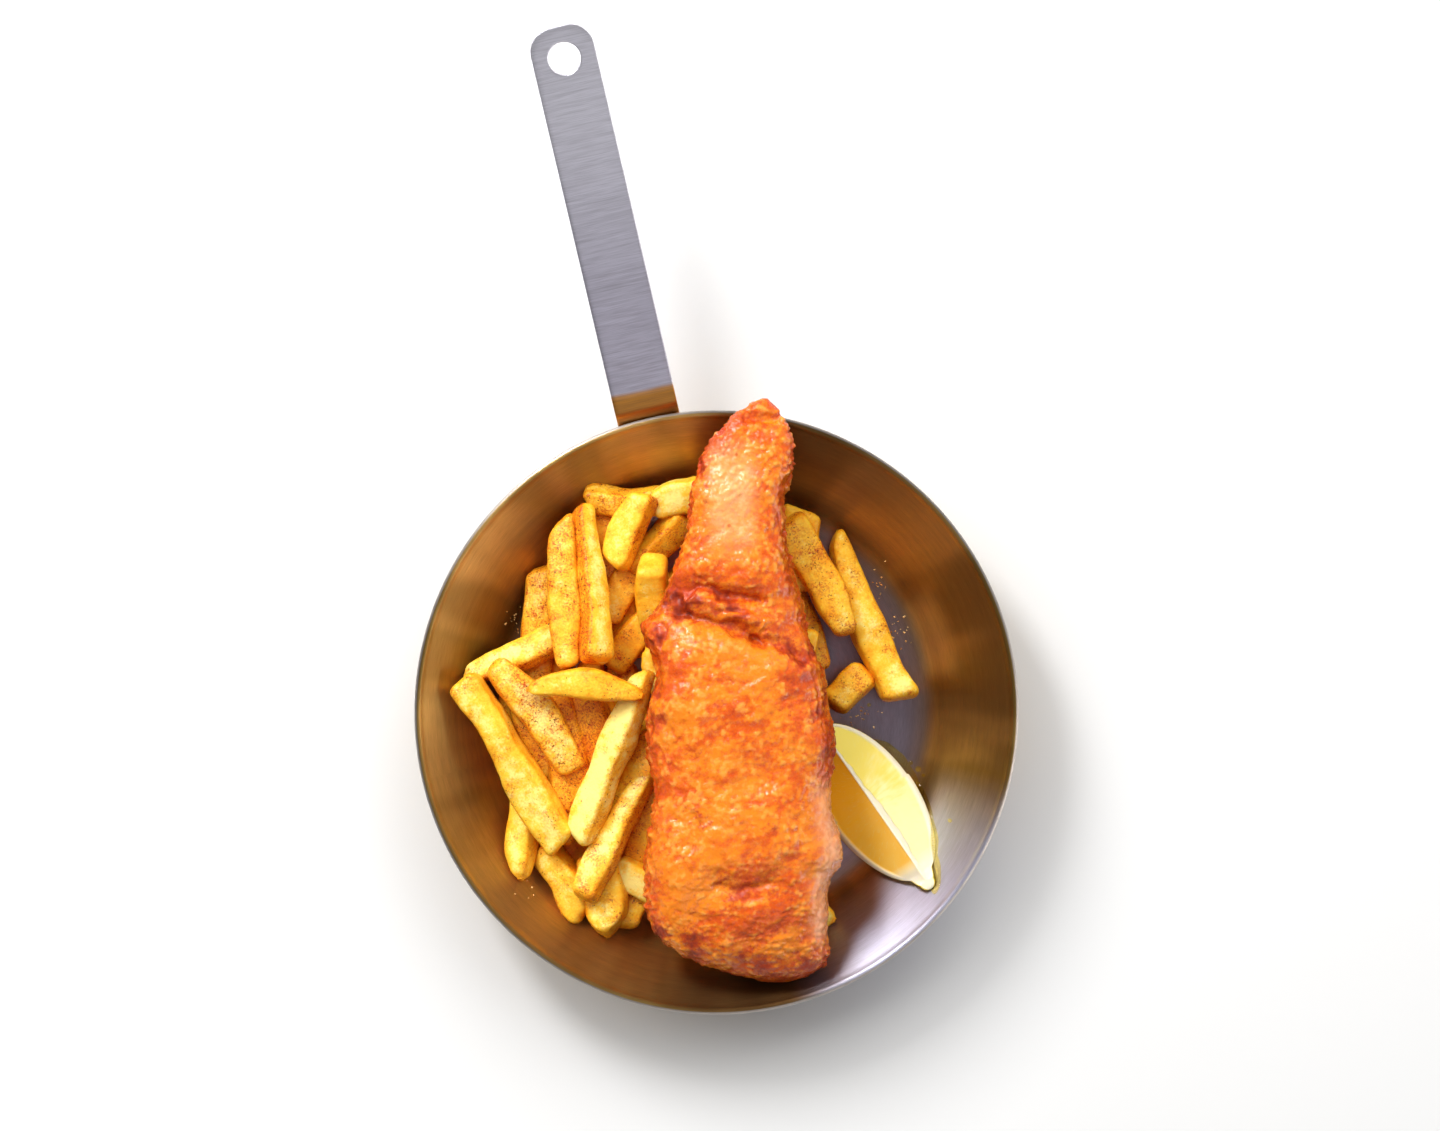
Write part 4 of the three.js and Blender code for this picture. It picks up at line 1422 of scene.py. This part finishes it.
# Sharp furrows inside the creases, darkened in the finish with painted shade.
FURROWS = (
    Crease(((-14, 45.5), (-8, 50), (-1, 49), (4, 46), (10, 46.5), (17, 44)), 1.9, 1.3),
    Crease(((-16, 41), (-9, 37.5), (-3, 36), (3, 34.5), (9, 33.5), (14, 30.5), (19, 29)), 2.3, 1.5),
    Crease(((16, 29.5), (23, 28.5), (29, 25.5), (34, 21)), 1.8, 1.4),
    Crease(((-9, 43.5), (-2, 42), (5, 41), (11, 38.5)), 1.1, 1.0),
    Crease(((-1, -66), (6, -69), (13, -68), (20, -66)), 1.3, 1.4),
    Crease(((12.5, 117), (17.5, 116), (21, 115.5), (25, 117.5)), 1.5, 1.3),
    Crease(((-22, -4), (-17, -9), (-20, -15)), 1.0, 1.3),
    Crease(((-24, 38), (-20, 33), (-22, 27)), 1.2, 1.3),
    Crease(((-13, -39), (-8, -42), (-3, -40)), 0.9, 1.3),
    Crease(((20, 8), (27, 5), (33, 7)), 0.8, 1.2),
    Crease(((4, 14), (11, 12), (16, 14)), 0.7, 1.2),
)

# The middle of the rolled fold between the two main creases.
FOLD = ((-17, 43), (-8, 45.5), (0, 44), (9, 40.5), (18, 35))

# Where the batter browned more: the middle in plan, the radius and how strongly.
BROWNED = (
    (-27.0, 31.0, 5.5, 1.3),
    (-24.0, 10.0, 4.5, 0.8),
    (-26.0, -1.0, 5.0, 0.9),
    (-9.0, -39.0, 2.5, 0.9),
    (8.0, -69.0, 5.0, 0.5),
    (26.0, -51.0, 5.5, 0.5),
    (10.8, -97.0, 8.0, 0.9),
    (24.0, -101.0, 8.0, 0.8),
    (-7.6, -92.0, 8.0, 1.0),
    (-20.0, -85.0, 6.0, 0.9),
    (33.4, 24.0, 7.0, 0.8),
    (41.5, -13.0, 6.0, 0.8),
    (39.0, 2.0, 6.0, 0.6),
    (37.0, -98.0, 6.0, 0.8),
    (-6.5, 97.0, 5.0, 0.9),
    (-3.0, 105.0, 4.0, 0.5),
    (17.0, 112.5, 4.0, 0.5),
    (-15.5, 50.0, 5.0, 0.7),
)


@dataclass
class Fillet:
    """The battered fillet, from its tail on the rim to its thick end."""

    sides: int = 260
    rings: int = 360
    tail_round: float = 0.024
    tail_point: float = 0.55
    thick_round: float = 0.036
    squareness: float = 0.78
    edge_height: float = 0.45
    ring_crowding: float = 0.3
    side_crowding: float = 0.4
    fold_width: float = 4.2
    wobble: float = 2.4
    finish: FriedBatter = field(default_factory=FriedBatter)

    def _form(self) -> tuple[Array, Array, Array]:
        """The fillet's smooth form with its swells and creases.

        Returns:
            The rings' points, the sine of each point's angle in its section, and how open its ring is.
        """
        share = np.linspace(0.0, 1.0, self.rings + 2)[1:-1]
        s = share - self.ring_crowding * np.sin(2 * math.pi * share) / (2 * math.pi)
        even = np.linspace(0.0, 2 * math.pi, self.sides, endpoint=False)
        angle = even + self.side_crowding * np.cos(even)
        cos, sin = np.cos(angle), np.sin(angle)
        at = FILLET_STATIONS[0, 0] + (FILLET_STATIONS[-1, 0] - FILLET_STATIONS[0, 0]) * s
        left, right, under, top = hermite(FILLET_STATIONS, at).T[..., None]
        tail = np.minimum(s / self.tail_round, 1.0) ** self.tail_point
        thick_end = np.sqrt(1 - (1 - np.minimum((1 - s) / self.thick_round, 1)) ** 2)
        opened = np.minimum(tail, thick_end)[:, None]
        edge = under + (top - under) * self.edge_height
        section_x = np.sign(cos) * np.abs(cos) ** self.squareness
        section_z = np.sign(sin) * np.abs(sin) ** self.squareness
        x = (left + right) / 2 + opened * (right - left) / 2 * section_x
        z = edge + opened * section_z * np.where(sin > 0, top - edge, edge - under)
        grid = np.stack([x, np.broadcast_to(at[:, None], x.shape), z], axis=-1)
        flat, sines = grid.reshape(-1, 3), np.tile(sin, self.rings)
        open_ = np.repeat(opened[:, 0], self.sides)
        push = Grain(3).smooth(flat, 17.0) * 1.5 + Grain(8).smooth(flat, 7.5) * 0.6
        for crease in CREASES:
            push -= smooth(0.2, 0.7, sines) * crease.depth * crease.near(flat)
        push *= smooth(-0.75, 0.0, sines) * open_
        outward = np.tile(np.stack([cos, np.zeros_like(cos), sin], axis=1), (self.rings, 1))
        return (flat + outward * push[:, None]).reshape(grid.shape), sines, open_

    def build(self) -> bpy.types.Object:
        """Builds and dresses the fillet."""
        grid, sin, opened = self._form()
        flat = grid.reshape(-1, 3)
        grain = Grain(21)
        on_top, side = smooth(-0.1, 0.5, sin), smooth(0.75, 0.1, np.abs(sin))
        jog = np.stack([grain.smooth(flat + 90.0 * k, 8.0) for k in range(3)], axis=1)
        wobble = flat + self.wobble * jog

        # What the batter's skin is made of at each point.
        furrow, furrow_shade = np.zeros(len(flat)), np.zeros(len(flat))
        for line in FURROWS:
            furrow += line.depth * line.near(wobble)
            furrow_shade = np.maximum(furrow_shade, line.depth / 2.3 * line.near(wobble, 2.6))
        folded = bell(distance_to_line(FOLD, wobble), self.fold_width)
        wrinkle = grain.ridges(wobble, (17.0, 7.5, 12.0), 1.4)
        crinkle = grain.ridges(wobble + 40.0, (7.0, 3.4, 6.0), 1.3)
        crag = grain.fractal(flat, 6.0, 4)
        crumb = grain.fractal(flat + 11.0, (3.4, 2.6, 3.0), 2)
        bubble = grain.bubbles(flat, 4.6) * smooth(0.0, 0.5, grain.smooth(flat + 17.0, 12.0))
        fizz = grain.bubbles(flat + 3.0, 2.4) * smooth(-0.5, 0.3, grain.smooth(flat + 29.0, 9.0))
        # The right edge: its relief is calmer, its sides less brown, and a painted sheen lies on it.
        right_edge = smooth(0.8, 0.5, sin) * smooth(15.0, 30.0, flat[:, 0])
        right_edge *= smooth(-22.0, -36.0, flat[:, 1]) * smooth(-96.0, -82.0, flat[:, 1])

        # How far it stands out: rough along the sides and the fold, calm along the right edge.
        ragged = np.clip(0.26 + 1.1 * side + 1.2 * folded * on_top, 0, 2) * (1 - 0.55 * right_edge)
        push = (0.7 * (wrinkle - 0.35) + 0.6 * (crinkle - 0.35) + 0.8 * crag + 0.35 * bubble) * ragged
        fine = 0.30 * crumb + 0.42 * fizz + 0.14 * grain.smooth(flat, 1.6)
        push += fine * (1 + 0.6 * side - 0.7 * right_edge) - 0.8 * side
        push = push * smooth(-0.9, -0.2, sin) * opened - on_top * furrow * 0.75
        round_ = np.roll(grid, -1, axis=1) - np.roll(grid, 1, axis=1)
        points = flat + unit(np.cross(round_, np.gradient(grid, axis=0))).reshape(-1, 3) * push[:, None]

        # How it is coloured: painted shade in creases, furrows, fold and wrinkle valleys, real browning in
        # the browned patches and along the sides, and a painted sheen on the tail and the right edge.
        patchy = grain.fractal(flat + 5.0, 7.0, 3)
        crease = (0.6 * furrow_shade + 0.7 * folded * smooth(-0.4, 0.4, patchy)) * on_top
        for x, y, radius, strength in BROWNED:
            near = np.exp(-(((wobble[:, 0] - x) ** 2 + (wobble[:, 1] - y) ** 2) / radius**2))
            crease += strength * near * smooth(-0.5, 0.4, patchy)
        # Wrinkle valleys painted darker as shade.
        crease += 0.45 * smooth(0.3, 0.0, wrinkle) * smooth(0.2, -0.4, crag)
        crease = np.clip(crease + 0.55 * side * smooth(-0.25, 0.45, patchy), 0, 1) * (1 - 0.7 * right_edge)
        # A painted sheen on the tail.
        tail_light = smooth(55.0, 78.0, flat[:, 1]) * smooth(112.0, 96.0, flat[:, 1])
        tail_light *= smooth(13.0, 4.0, np.abs(flat[:, 0] - 6.0)) * on_top
        brown = 0.5 * crag + 0.55 * side * (1 - right_edge) + 0.5 * grain.smooth(flat + 70.0, 26.0)
        held = {
            "crease": crease,
            "crag": np.clip(brown, -1, 1),
            "pallor": np.clip(right_edge + tail_light, 0, 1),
            # lift: how far the fine relief stands out, painted lighter in the finish as a highlight.
            "lift": np.clip(0.7 * fizz + 0.6 * crumb + 0.4 * bubble + 0.5 * (crinkle - 0.35), -1, 1),
        }
        held = {name: np.pad(values, 1, "edge") for name, values in held.items()}
        made = piece("battered_fillet", tube(points.reshape(grid.shape)), self.finish.material(), **held)
        return settle(made, Slot.BATTER, "battered_fish")


# ------------------------------------------------------------------------------------------ lemon
@dataclass
class LemonWedge:
    """A quarter of a lemon standing on its rind, inner edge up, its far end under the fillet."""

    pan: Pan
    radius: float = 28.0
    length: float = 78.0
    nub_length: float = 9.0
    nub_radius: float = 3.3
    nub_flare: float = 1.3
    rind: float = 3.3
    core: float = 2.0
    far_core: float = 0.6
    recess: float = 0.7
    half_angle: float = math.radians(40.0)
    over_axis: float = 1.2
    closing: tuple[float, float] = (63.0, 70.0)
    stalk: Point = (41.0, -6.5, 28.0)
    nub: Point = (85.0, -69.5, 33.5)
    stations: int = 170
    face_points: int = 46
    rind_points: int = 64
    finish: CutLemon = field(default_factory=CutLemon)

    def _radius(self, x: Array) -> Array:
        """The lemon's radius, with the nub past the end of its round body.

        Args:
            x: Distances along its axis.

        Returns:
            The radius at each of them.
        """
        half = (self.length - self.nub_length) / 2 + 1
        body = self.radius * np.sqrt(np.maximum(0.0, 1 - ((x - half) / half) ** 2)) ** 1.1
        tip = self.length - self.nub_radius
        past = np.where(x > tip, (x - self.length + self.nub_radius) / self.nub_radius, 0.0)
        taper = 1.0 + self.nub_flare * np.clip((tip - x) / (0.62 * self.nub_length), 0.0, 1.0)
        nub = np.where(x < half, 0.0, self.nub_radius * taper * np.sqrt(np.maximum(0.0, 1 - past**2)))
        return np.hypot(body, nub)

    def _ring(self, at: float, r: float) -> tuple[Array, dict[str, Array], Array]:
        """One ring of the wedge: a cut face, the rind, and the other cut face.

        Args:
            at: Where the ring lies along the lemon.
            r: The lemon's radius there.

        Returns:
            Its points, what the mesh holds at each of them, and their places across and along the pulp.
        """
        closing = float(smooth(*self.closing, at))
        nub = self.nub_radius if at > self.length / 2 else 0.0
        wide = ((r * math.sin(self.half_angle)) ** 3 + nub**3) ** (1 / 3)
        half = max(self.half_angle, math.asin(min(wide / r, 0.997)))
        h = self.over_axis * min(1.0, r / 5.0)
        far = h * math.cos(half) + math.sqrt(max(r * r - (h * math.sin(half)) ** 2, 0.0))
        d = far * np.linspace(0.0, 1.0, self.face_points) ** 0.9
        corner = math.atan2(far * math.sin(half), h - far * math.cos(half))
        turn = np.linspace(corner, 2 * math.pi - corner, self.rind_points + 2)[1:-1]
        right = np.stack([-d * math.sin(half), h - d * math.cos(half)], axis=1)
        bottom = np.stack([-r * np.sin(turn), r * np.cos(turn)], axis=1)
        ring = softened(np.vstack([right, bottom, (right * (-1.0, 1.0))[:0:-1]]))
        depth = np.concatenate([d, np.full(self.rind_points, far), d[:0:-1]])
        outside = np.repeat([0.0, 1.0, 0.0], [self.face_points, self.rind_points, self.face_points - 1])
        inward = np.where(np.arange(len(ring)) < self.face_points, 1.0, -1.0)

        peel = self.rind * (0.7 + 0.3 * math.sin(math.pi * at / self.length))
        waves = 0.35 * math.sin(at * 0.37) + 0.25 * math.sin(at)
        white = 2.6 * float(bell(at / self.length - 0.60, 0.22)) + waves
        core = np.where(inward > 0, self.far_core, self.core + white)
        flesh = smooth(core - 0.3, core + 0.5, depth) * smooth(far - peel + 0.5, far - peel - 0.5, depth)
        flesh *= (1 - closing) * float(smooth(0.5, 5.0, at))
        ring[:, 0] += flesh * self.recess * math.cos(half) * inward
        ring[:, 1] -= flesh * self.recess * math.sin(half)
        rind = np.maximum(smooth(far - 0.7, far - 0.2, depth), softened(outside))
        held = {"pith": 1 - flesh, "rind": rind, "far_face": flesh * (inward > 0)}
        middle = self.length * 0.47
        fan = middle + (at - middle) / (0.5 + 0.5 * depth / far)
        strip = np.column_stack([fan / self.length, depth / self.radius + 3.0 * (inward < 0)])
        return np.column_stack([np.full(len(ring), at), ring]), held, strip

    def build(self) -> bpy.types.Object:
        """Builds and dresses the wedge."""
        share = np.linspace(0.0, 1.0, self.stations + 2)[1:-1]
        x = self.length * (1 - np.cos(math.pi * share)) / 2
        rings, helds, strips = zip(*(self._ring(*both) for both in zip(x.tolist(), self._radius(x).tolist())))
        stalk, local = np.array(self.stalk), np.array(rings)
        run = unit(np.array(self.nub) - stalk)
        across = unit(np.cross([0.0, 0.0, 1.0], run))
        up = np.cross(run, across)
        points, faces = tube(stalk + local[..., :1] * run + local[..., 1:2] * across + local[..., 2:] * up)
        held = {key: capped(1.0, np.array([one[key] for one in helds]), 1.0) for key in helds[0]}
        skin = self.pan.rested(points), faces
        made = piece("wedge_of_lemon", skin, self.finish.material(), **held)
        self._lay_strips(made.data, capped([0.0, 0.0], np.array(strips), [1.0, 0.0]))
        return settle(made, Slot.LEMON, "lemon_wedge")

    @staticmethod
    def _lay_strips(mesh: bpy.types.Mesh, places: Array) -> None:
        """Writes each point's place across and along the pulp as the mesh's UV map.

        Args:
            mesh: The mesh.
            places: One place a point.
        """
        corners = np.zeros(len(mesh.loops), int)
        mesh.loops.foreach_get("vertex_index", corners)
        layer = mesh.uv_layers.new(name="pulp")
        layer.data.foreach_set("uv", places[corners].astype(np.float32).ravel())


# ------------------------------------------------------------------------------------------ strewn
@dataclass
class Sprinkle:
    """Small grains strewn over a surface, more where the surface's own spice is high."""

    name: str
    finish: Plain
    slot: Slot
    grain: float = 0.7
    density: float = 0.6
    least_rise: float = 0.1
    cluster: float = 7.0
    seed: int = 1

    def _tree(self, material: bpy.types.Material) -> tuple[bpy.types.NodeTree, dict[str, str]]:
        """The Geometry Nodes tree that strews the grains.

        Args:
            material: The grains' material.

        Returns:
            The tree, and the identifiers of its inputs by name.
        """
        group = bpy.data.node_groups.new(self.name, "GeometryNodeTree")
        names = {}
        for name, kind, way in (
            ("Strewn", "Geometry", "OUTPUT"),
            ("Geometry", "Geometry", "INPUT"),
            ("Density", "Float", "INPUT"),
            ("Grain", "Float", "INPUT"),
            ("Least Rise", "Float", "INPUT"),
            ("Seed", "Int", "INPUT"),
        ):
            socket = group.interface.new_socket(name, in_out=way, socket_type="NodeSocket" + kind)
            names[name] = socket.identifier
        tree = Tree(group)
        given = tree.add("NodeGroupInput").outputs
        normal = tree.add("GeometryNodeInputNormal").outputs[0]
        rise = tree.number("ShaderNodeSeparateXYZ", None, {0: normal}, output=2)
        share = tree.number("GeometryNodeInputNamedAttribute", {"data_type": "FLOAT"}, {"Name": "spice"})
        cloud = tree.number("ShaderNodeTexNoise", None, {"Scale": 1.0 / (self.cluster * MM), "Detail": 2.0})
        often = share * share * cloud.step(0.38, 0.62) * rise.math("GREATER_THAN", rise, given["Least Rise"])
        points = tree.add(
            "GeometryNodeDistributePointsOnFaces",
            {"distribute_method": "RANDOM"},
            {"Mesh": given["Geometry"], "Density": often * given["Density"], "Seed": given["Seed"]},
        )
        flake = tree.add("GeometryNodeMeshIcoSphere", None, {"Radius": given["Grain"], "Subdivisions": 1})
        inputs = {"Points": points.outputs[0], "Instance": flake.outputs[0]}
        for name, low, high, seed in (
            ("Rotation", (0.0, 0.0, 0.0), (6.3, 6.3, 6.3), 3),
            ("Scale", (0.35, 0.3, 0.15), (1.3, 0.9, 0.55), 7),
        ):
            between = {0: low, 1: high, "Seed": seed}
            drawn = tree.add("FunctionNodeRandomValue", {"data_type": "FLOAT_VECTOR"}, between)
            inputs[name] = drawn.outputs[0]
        strewn = tree.add("GeometryNodeInstanceOnPoints", None, inputs)
        real = tree.add("GeometryNodeRealizeInstances", None, {0: strewn.outputs[0]})
        inputs = {"Geometry": real.outputs[0], "Material": material}
        dressed = tree.add("GeometryNodeSetMaterial", None, inputs)
        tree.add("NodeGroupOutput", None, {0: dressed.outputs[0]})
        return group, names

    def strew(self, host: bpy.types.Object) -> bpy.types.Object:
        """Strews the grains.

        Args:
            host: The piece they lie on, whose mesh holds the spice at each point.

        Returns:
            The grains as one plain mesh.
        """
        material = self.finish.material()
        group, names = self._tree(material)
        made = linked(self.name, host.data.copy())
        modifier = made.modifiers.new("strew", "NODES")
        modifier.node_group = group
        modifier[names["Density"]] = self.density / (MM * MM)
        modifier[names["Grain"]] = self.grain * MM
        modifier[names["Least Rise"]] = self.least_rise
        modifier[names["Seed"]] = self.seed
        mesh = evaluated(made)
        made.modifiers.remove(modifier)
        made.data = mesh
        mesh.materials.clear()
        mesh.materials.append(material)
        return settle(made, self.slot)


@dataclass
class Crumbs:
    """Spice grains that fell on the pan, in loose patches: each one's middle, half width and half length."""

    pan: Pan
    spread: float = 1.8
    rows: int = 36
    over_pan: float = 0.15
    patches: tuple[tuple[float, float, float, float], ...] = (
        (73.5, 31.0, 6.5, 12.0),
        (66.0, 50.0, 4.0, 8.0),
        (-82.0, 33.0, 5.0, 9.0),
        (58.0, -3.0, 12.0, 6.0),
        (-74.0, -60.0, 9.0, 12.0),
    )

    def host(self) -> bpy.types.Object:
        """The patches that the grains lie on, as one open surface just over the pan."""
        even = np.linspace(-self.spread, self.spread, self.rows)
        across, along = (v.ravel() for v in np.meshgrid(even, even))
        faces, parts = grid_faces(self.rows, self.rows), []
        for x, y, wide, long in self.patches:
            flat = np.stack([x + across * wide, y + along * long], axis=1)
            parts.append((np.column_stack([flat, self.pan.ground(flat) + self.over_pan]), faces))
        spice = np.tile(np.exp(-(across**2 + along**2) / 0.8), len(parts))
        return piece("crumb_patches", joined(parts), bpy.data.materials.new("unseen"), spice=spice)


@dataclass
class JuiceFilm:
    """Lemon juice and oil on the pan: a run beside the wedge and drops, as places and half widths."""

    pan: Pan
    path: tuple[Point, ...] = (
        (64.0, -12.5, 1.2),
        (71.0, -18.5, 3.2),
        (77.3, -27.5, 3.6),
        (82.3, -37.5, 3.5),
        (85.0, -48.0, 3.2),
        (86.0, -58.0, 2.8),
        (87.0, -66.0, 2.3),
        (86.5, -72.5, 1.4),
    )
    drops: tuple[Point, ...] = (
        (79.0, -22.0, 0.9),
        (82.0, -24.5, 1.2),
        (84.0, -27.0, 0.7),
        (93.5, -44.0, 0.8),
        (62.0, 1.5, 0.8),
    )
    depth: float = 0.55
    over_pan: float = 0.06
    columns: int = 21
    rows: int = 120
    drop_rows: int = 13
    end_length: float = 0.6
    wobble: float = 0.25
    wobble_size: float = 7.0
    least: float = 0.05
    drop_least: float = 0.02
    finish: Juice = field(default_factory=Juice)

    def _blob(self, middle: Array, side: Array, wide: Array) -> Skin:
        """A closed lens of liquid along a line on the pan.

        Args:
            middle: The line's points in plan.
            side: The direction across at each of them.
            wide: Half its width at each of them.

        Returns:
            Its points and faces.
        """
        share = np.cos(np.linspace(math.pi, 0.0, self.columns))
        flat = middle[:, None] + share[:, None] * (side * wide[:, None])[:, None]
        ground = self.pan.ground(flat) + self.over_pan
        dome = np.sqrt(np.maximum(1 - share**2, 0.0)) * self.depth * np.minimum(wide / 2.0, 1.0)[:, None]
        top = np.concatenate([flat, (ground + dome)[..., None]], axis=-1)
        low = np.concatenate([flat, ground[..., None]], axis=-1)[:, -2:0:-1]
        return tube(np.concatenate([top, low], axis=1)[:, ::-1])

    def build(self) -> bpy.types.Object:
        """Builds and dresses the film and its drops."""
        table = np.array(self.path)
        at = np.linspace(0.0, len(table) - 1.0, self.rows)
        line = hermite(np.column_stack([-np.arange(len(table), dtype=float), table]), -at)
        run = unit(np.gradient(line[:, :2], axis=0))
        wobble = self.wobble * Grain(41).smooth(line * (1.0, 1.0, 0.0), self.wobble_size)
        ends = np.sqrt(1 - (1 - np.minimum(np.minimum(at, at[::-1]) / self.end_length, 1.0)) ** 2)
        wide = np.maximum(line[:, 2] * (1 + wobble) * ends, self.least)
        blobs = [self._blob(line[:, :2], np.column_stack([-run[:, 1], run[:, 0]]), wide)]
        turn = np.linspace(math.pi, 0.0, self.drop_rows)
        for x, y, radius in self.drops:
            middle = np.column_stack([x + radius * np.cos(turn), np.full(self.drop_rows, y)])
            side = np.tile([0.0, 1.0], (self.drop_rows, 1))
            blobs.append(self._blob(middle, side, np.maximum(radius * np.sin(turn), self.drop_least)))
        return settle(piece("lemon_juice_film", joined(blobs), self.finish.material()), Slot.LEMON)


# ------------------------------------------------------------------------------------------ studio
@dataclass(frozen=True)
class Lamp:
    """A soft rectangular light: where it hangs round the serving, its size, its power and its colour.

    One that doesn't shine isn't seen in gloss, and one that doesn't light is seen there only.
    """

    name: str
    azimuth: float
    elevation: float
    distance: float
    size: tuple[float, float]
    power: float
    colour: Point = (1.0, 1.0, 1.0)
    shines: bool = True
    lights: bool = True

    def hang(self) -> None:
        """Makes the light and turns it to the serving."""
        turn, rise = math.radians(self.azimuth) + SERVING_TURN, math.radians(self.elevation)
        lamp = bpy.data.lights.new(self.name, "AREA")
        lamp.shape, lamp.energy, lamp.color = "RECTANGLE", self.power, self.colour
        lamp.size, lamp.size_y = self.size
        made = linked(self.name, lamp)
        away = (math.cos(rise) * math.cos(turn), math.cos(rise) * math.sin(turn), math.sin(rise))
        made.location = [self.distance * v for v in away]
        made.rotation_euler = (math.pi / 2 - rise, 0.0, turn + math.pi / 2)
        made.visible_glossy, made.visible_diffuse = self.shines, self.lights


LAMPS = (
    Lamp("window", 112.0, 50.0, 2.2, (4.4, 1.8), 60.0, (1.0, 0.985, 0.96), shines=False),
    Lamp("right_soft", 50.0, 46.0, 2.2, (2.0, 1.5), 15.0, shines=False),
    Lamp("left_soft", 168.0, 44.0, 2.2, (2.0, 1.5), 7.0, shines=False),
    Lamp("rim_strip", 124.0, 40.0, 1.7, (0.32, 0.7), 18.0),
    Lamp("fill", -20.0, 18.0, 1.7, (1.3, 0.5), 9.0, (1.0, 0.98, 0.96), lights=False),
    Lamp("card", -77.0, 58.0, 2.0, (0.5, 0.9), 1.9, (0.93, 0.94, 1.0), lights=False),
)


@dataclass
class Studio:
    """Floor, light and an overhead camera over the served pan."""

    height: float = 1.44
    lens: float = 88.4
    nadir: tuple[float, float] = (1.4, 58.2)
    floor_half: float = 4000.0
    floor_under: float = 0.4
    paper: Colour = (0.80, 0.80, 0.80, 1.0)
    paper_cloud: Colour = (0.78, 0.78, 0.78, 1.0)
    zenith: float = 0.15
    horizon: float = 0.12
    bright_side: float = math.radians(-20.0)
    side_gain: float = 1.6

    def _floor(self) -> None:
        """A large pale floor, a little under the pan."""
        paper = Shader("floor_paper", Roughness=0.9)
        paper.surface(Base_Color=paper.coated(self.paper, (paper.noise(400.0, 1.0), self.paper_cloud)))
        square = np.array([(-1.0, -1.0), (1.0, -1.0), (1.0, 1.0), (-1.0, 1.0)]) * self.floor_half
        skin = np.column_stack([square, np.full(4, -self.floor_under)]), [(0, 1, 2, 3)]
        piece("floor", skin, paper.material, 0.0)

    def _sky(self) -> None:
        """A pale room round the floor, lighter at eye level than overhead and lighter on one side."""
        world = bpy.data.worlds.new("studio")
        world.use_nodes = True
        tree = Tree(world.node_tree)
        tree.tree.nodes.clear()
        way = tree.add("ShaderNodeTexCoord").outputs["Generated"]
        up = tree.number("ShaderNodeSeparateXYZ", None, {0: way}, output=2)
        inputs = {0: way, 1: (*heading(self.bright_side + SERVING_TURN).tolist(), 0.0)}
        toward = tree.number("ShaderNodeVectorMath", {"operation": "DOT_PRODUCT"}, inputs, output="Value")
        level = up.step(0.75, 0.1) * (self.horizon - self.zenith) + self.zenith
        level = level * (toward.step(-0.3, 0.9) * self.side_gain + 1.0)
        light = tree.add("ShaderNodeBackground", None, {0: (1.0, 1.0, 1.0, 1.0), 1: level})
        tree.add("ShaderNodeOutputWorld", None, {0: light.outputs[0]})
        bpy.context.scene.world = world

    def build(self) -> None:
        """Builds the floor, the lights, the world and the camera."""
        self._floor()
        self._sky()
        for lamp in LAMPS:
            lamp.hang()
        camera = bpy.data.cameras.new("overhead")
        camera.lens, camera.sensor_width, camera.sensor_fit = self.lens, 36.0, "HORIZONTAL"
        made = linked("overhead", camera)
        spot = turn_about_z(np.array([(*self.nadir, 0.0)]), SERVING_TURN)[0] * MM
        made.location = (spot[0], spot[1], self.height)
        made.rotation_euler = (0.0, 0.0, SERVING_TURN)
        bpy.context.scene.camera = made
        bpy.context.scene.view_settings.view_transform = "Standard"


# ------------------------------------------------------------------------------------------ serving
def main() -> None:
    """Builds the whole serving in order and reports each piece."""
    logging.basicConfig(level=logging.INFO, format="%(name)s: %(message)s")
    Studio().build()
    pan = Pan()
    chips = Chips(pan).build()
    made = [pan.build(), Handle(pan).build(), *chips, Fillet().build(), LemonWedge(pan).build()]
    made.append(JuiceFilm(pan).build())
    paprika = Plain("paprika", rgb(140, 56, 22), rgb(64, 22, 10))
    golden = Plain("golden_crumb", rgb(252, 212, 140), rgb(214, 140, 60))
    for i, host in enumerate(chips):
        if host.name != "chips_inside_heap":
            made.append(Sprinkle("spice_on_" + host.name, paprika, Slot.POTATO, seed=i + 1).strew(host))
    patches = Crumbs(pan).host()
    crumbs = Sprinkle("crumbs_on_pan", golden, Slot.POTATO, 0.55, 0.45, cluster=4.0, seed=9)
    made.append(crumbs.strew(patches))
    bpy.data.objects.remove(patches)
    for built in made:
        log.info("%s: %d faces", built.name, len(built.data.polygons))


def plain(box: Any) -> list[list[float]]:
    """A box as plain lists of numbers."""
    return [[float(v) for v in corner] for corner in box]


if __name__ == "__main__":
    main()
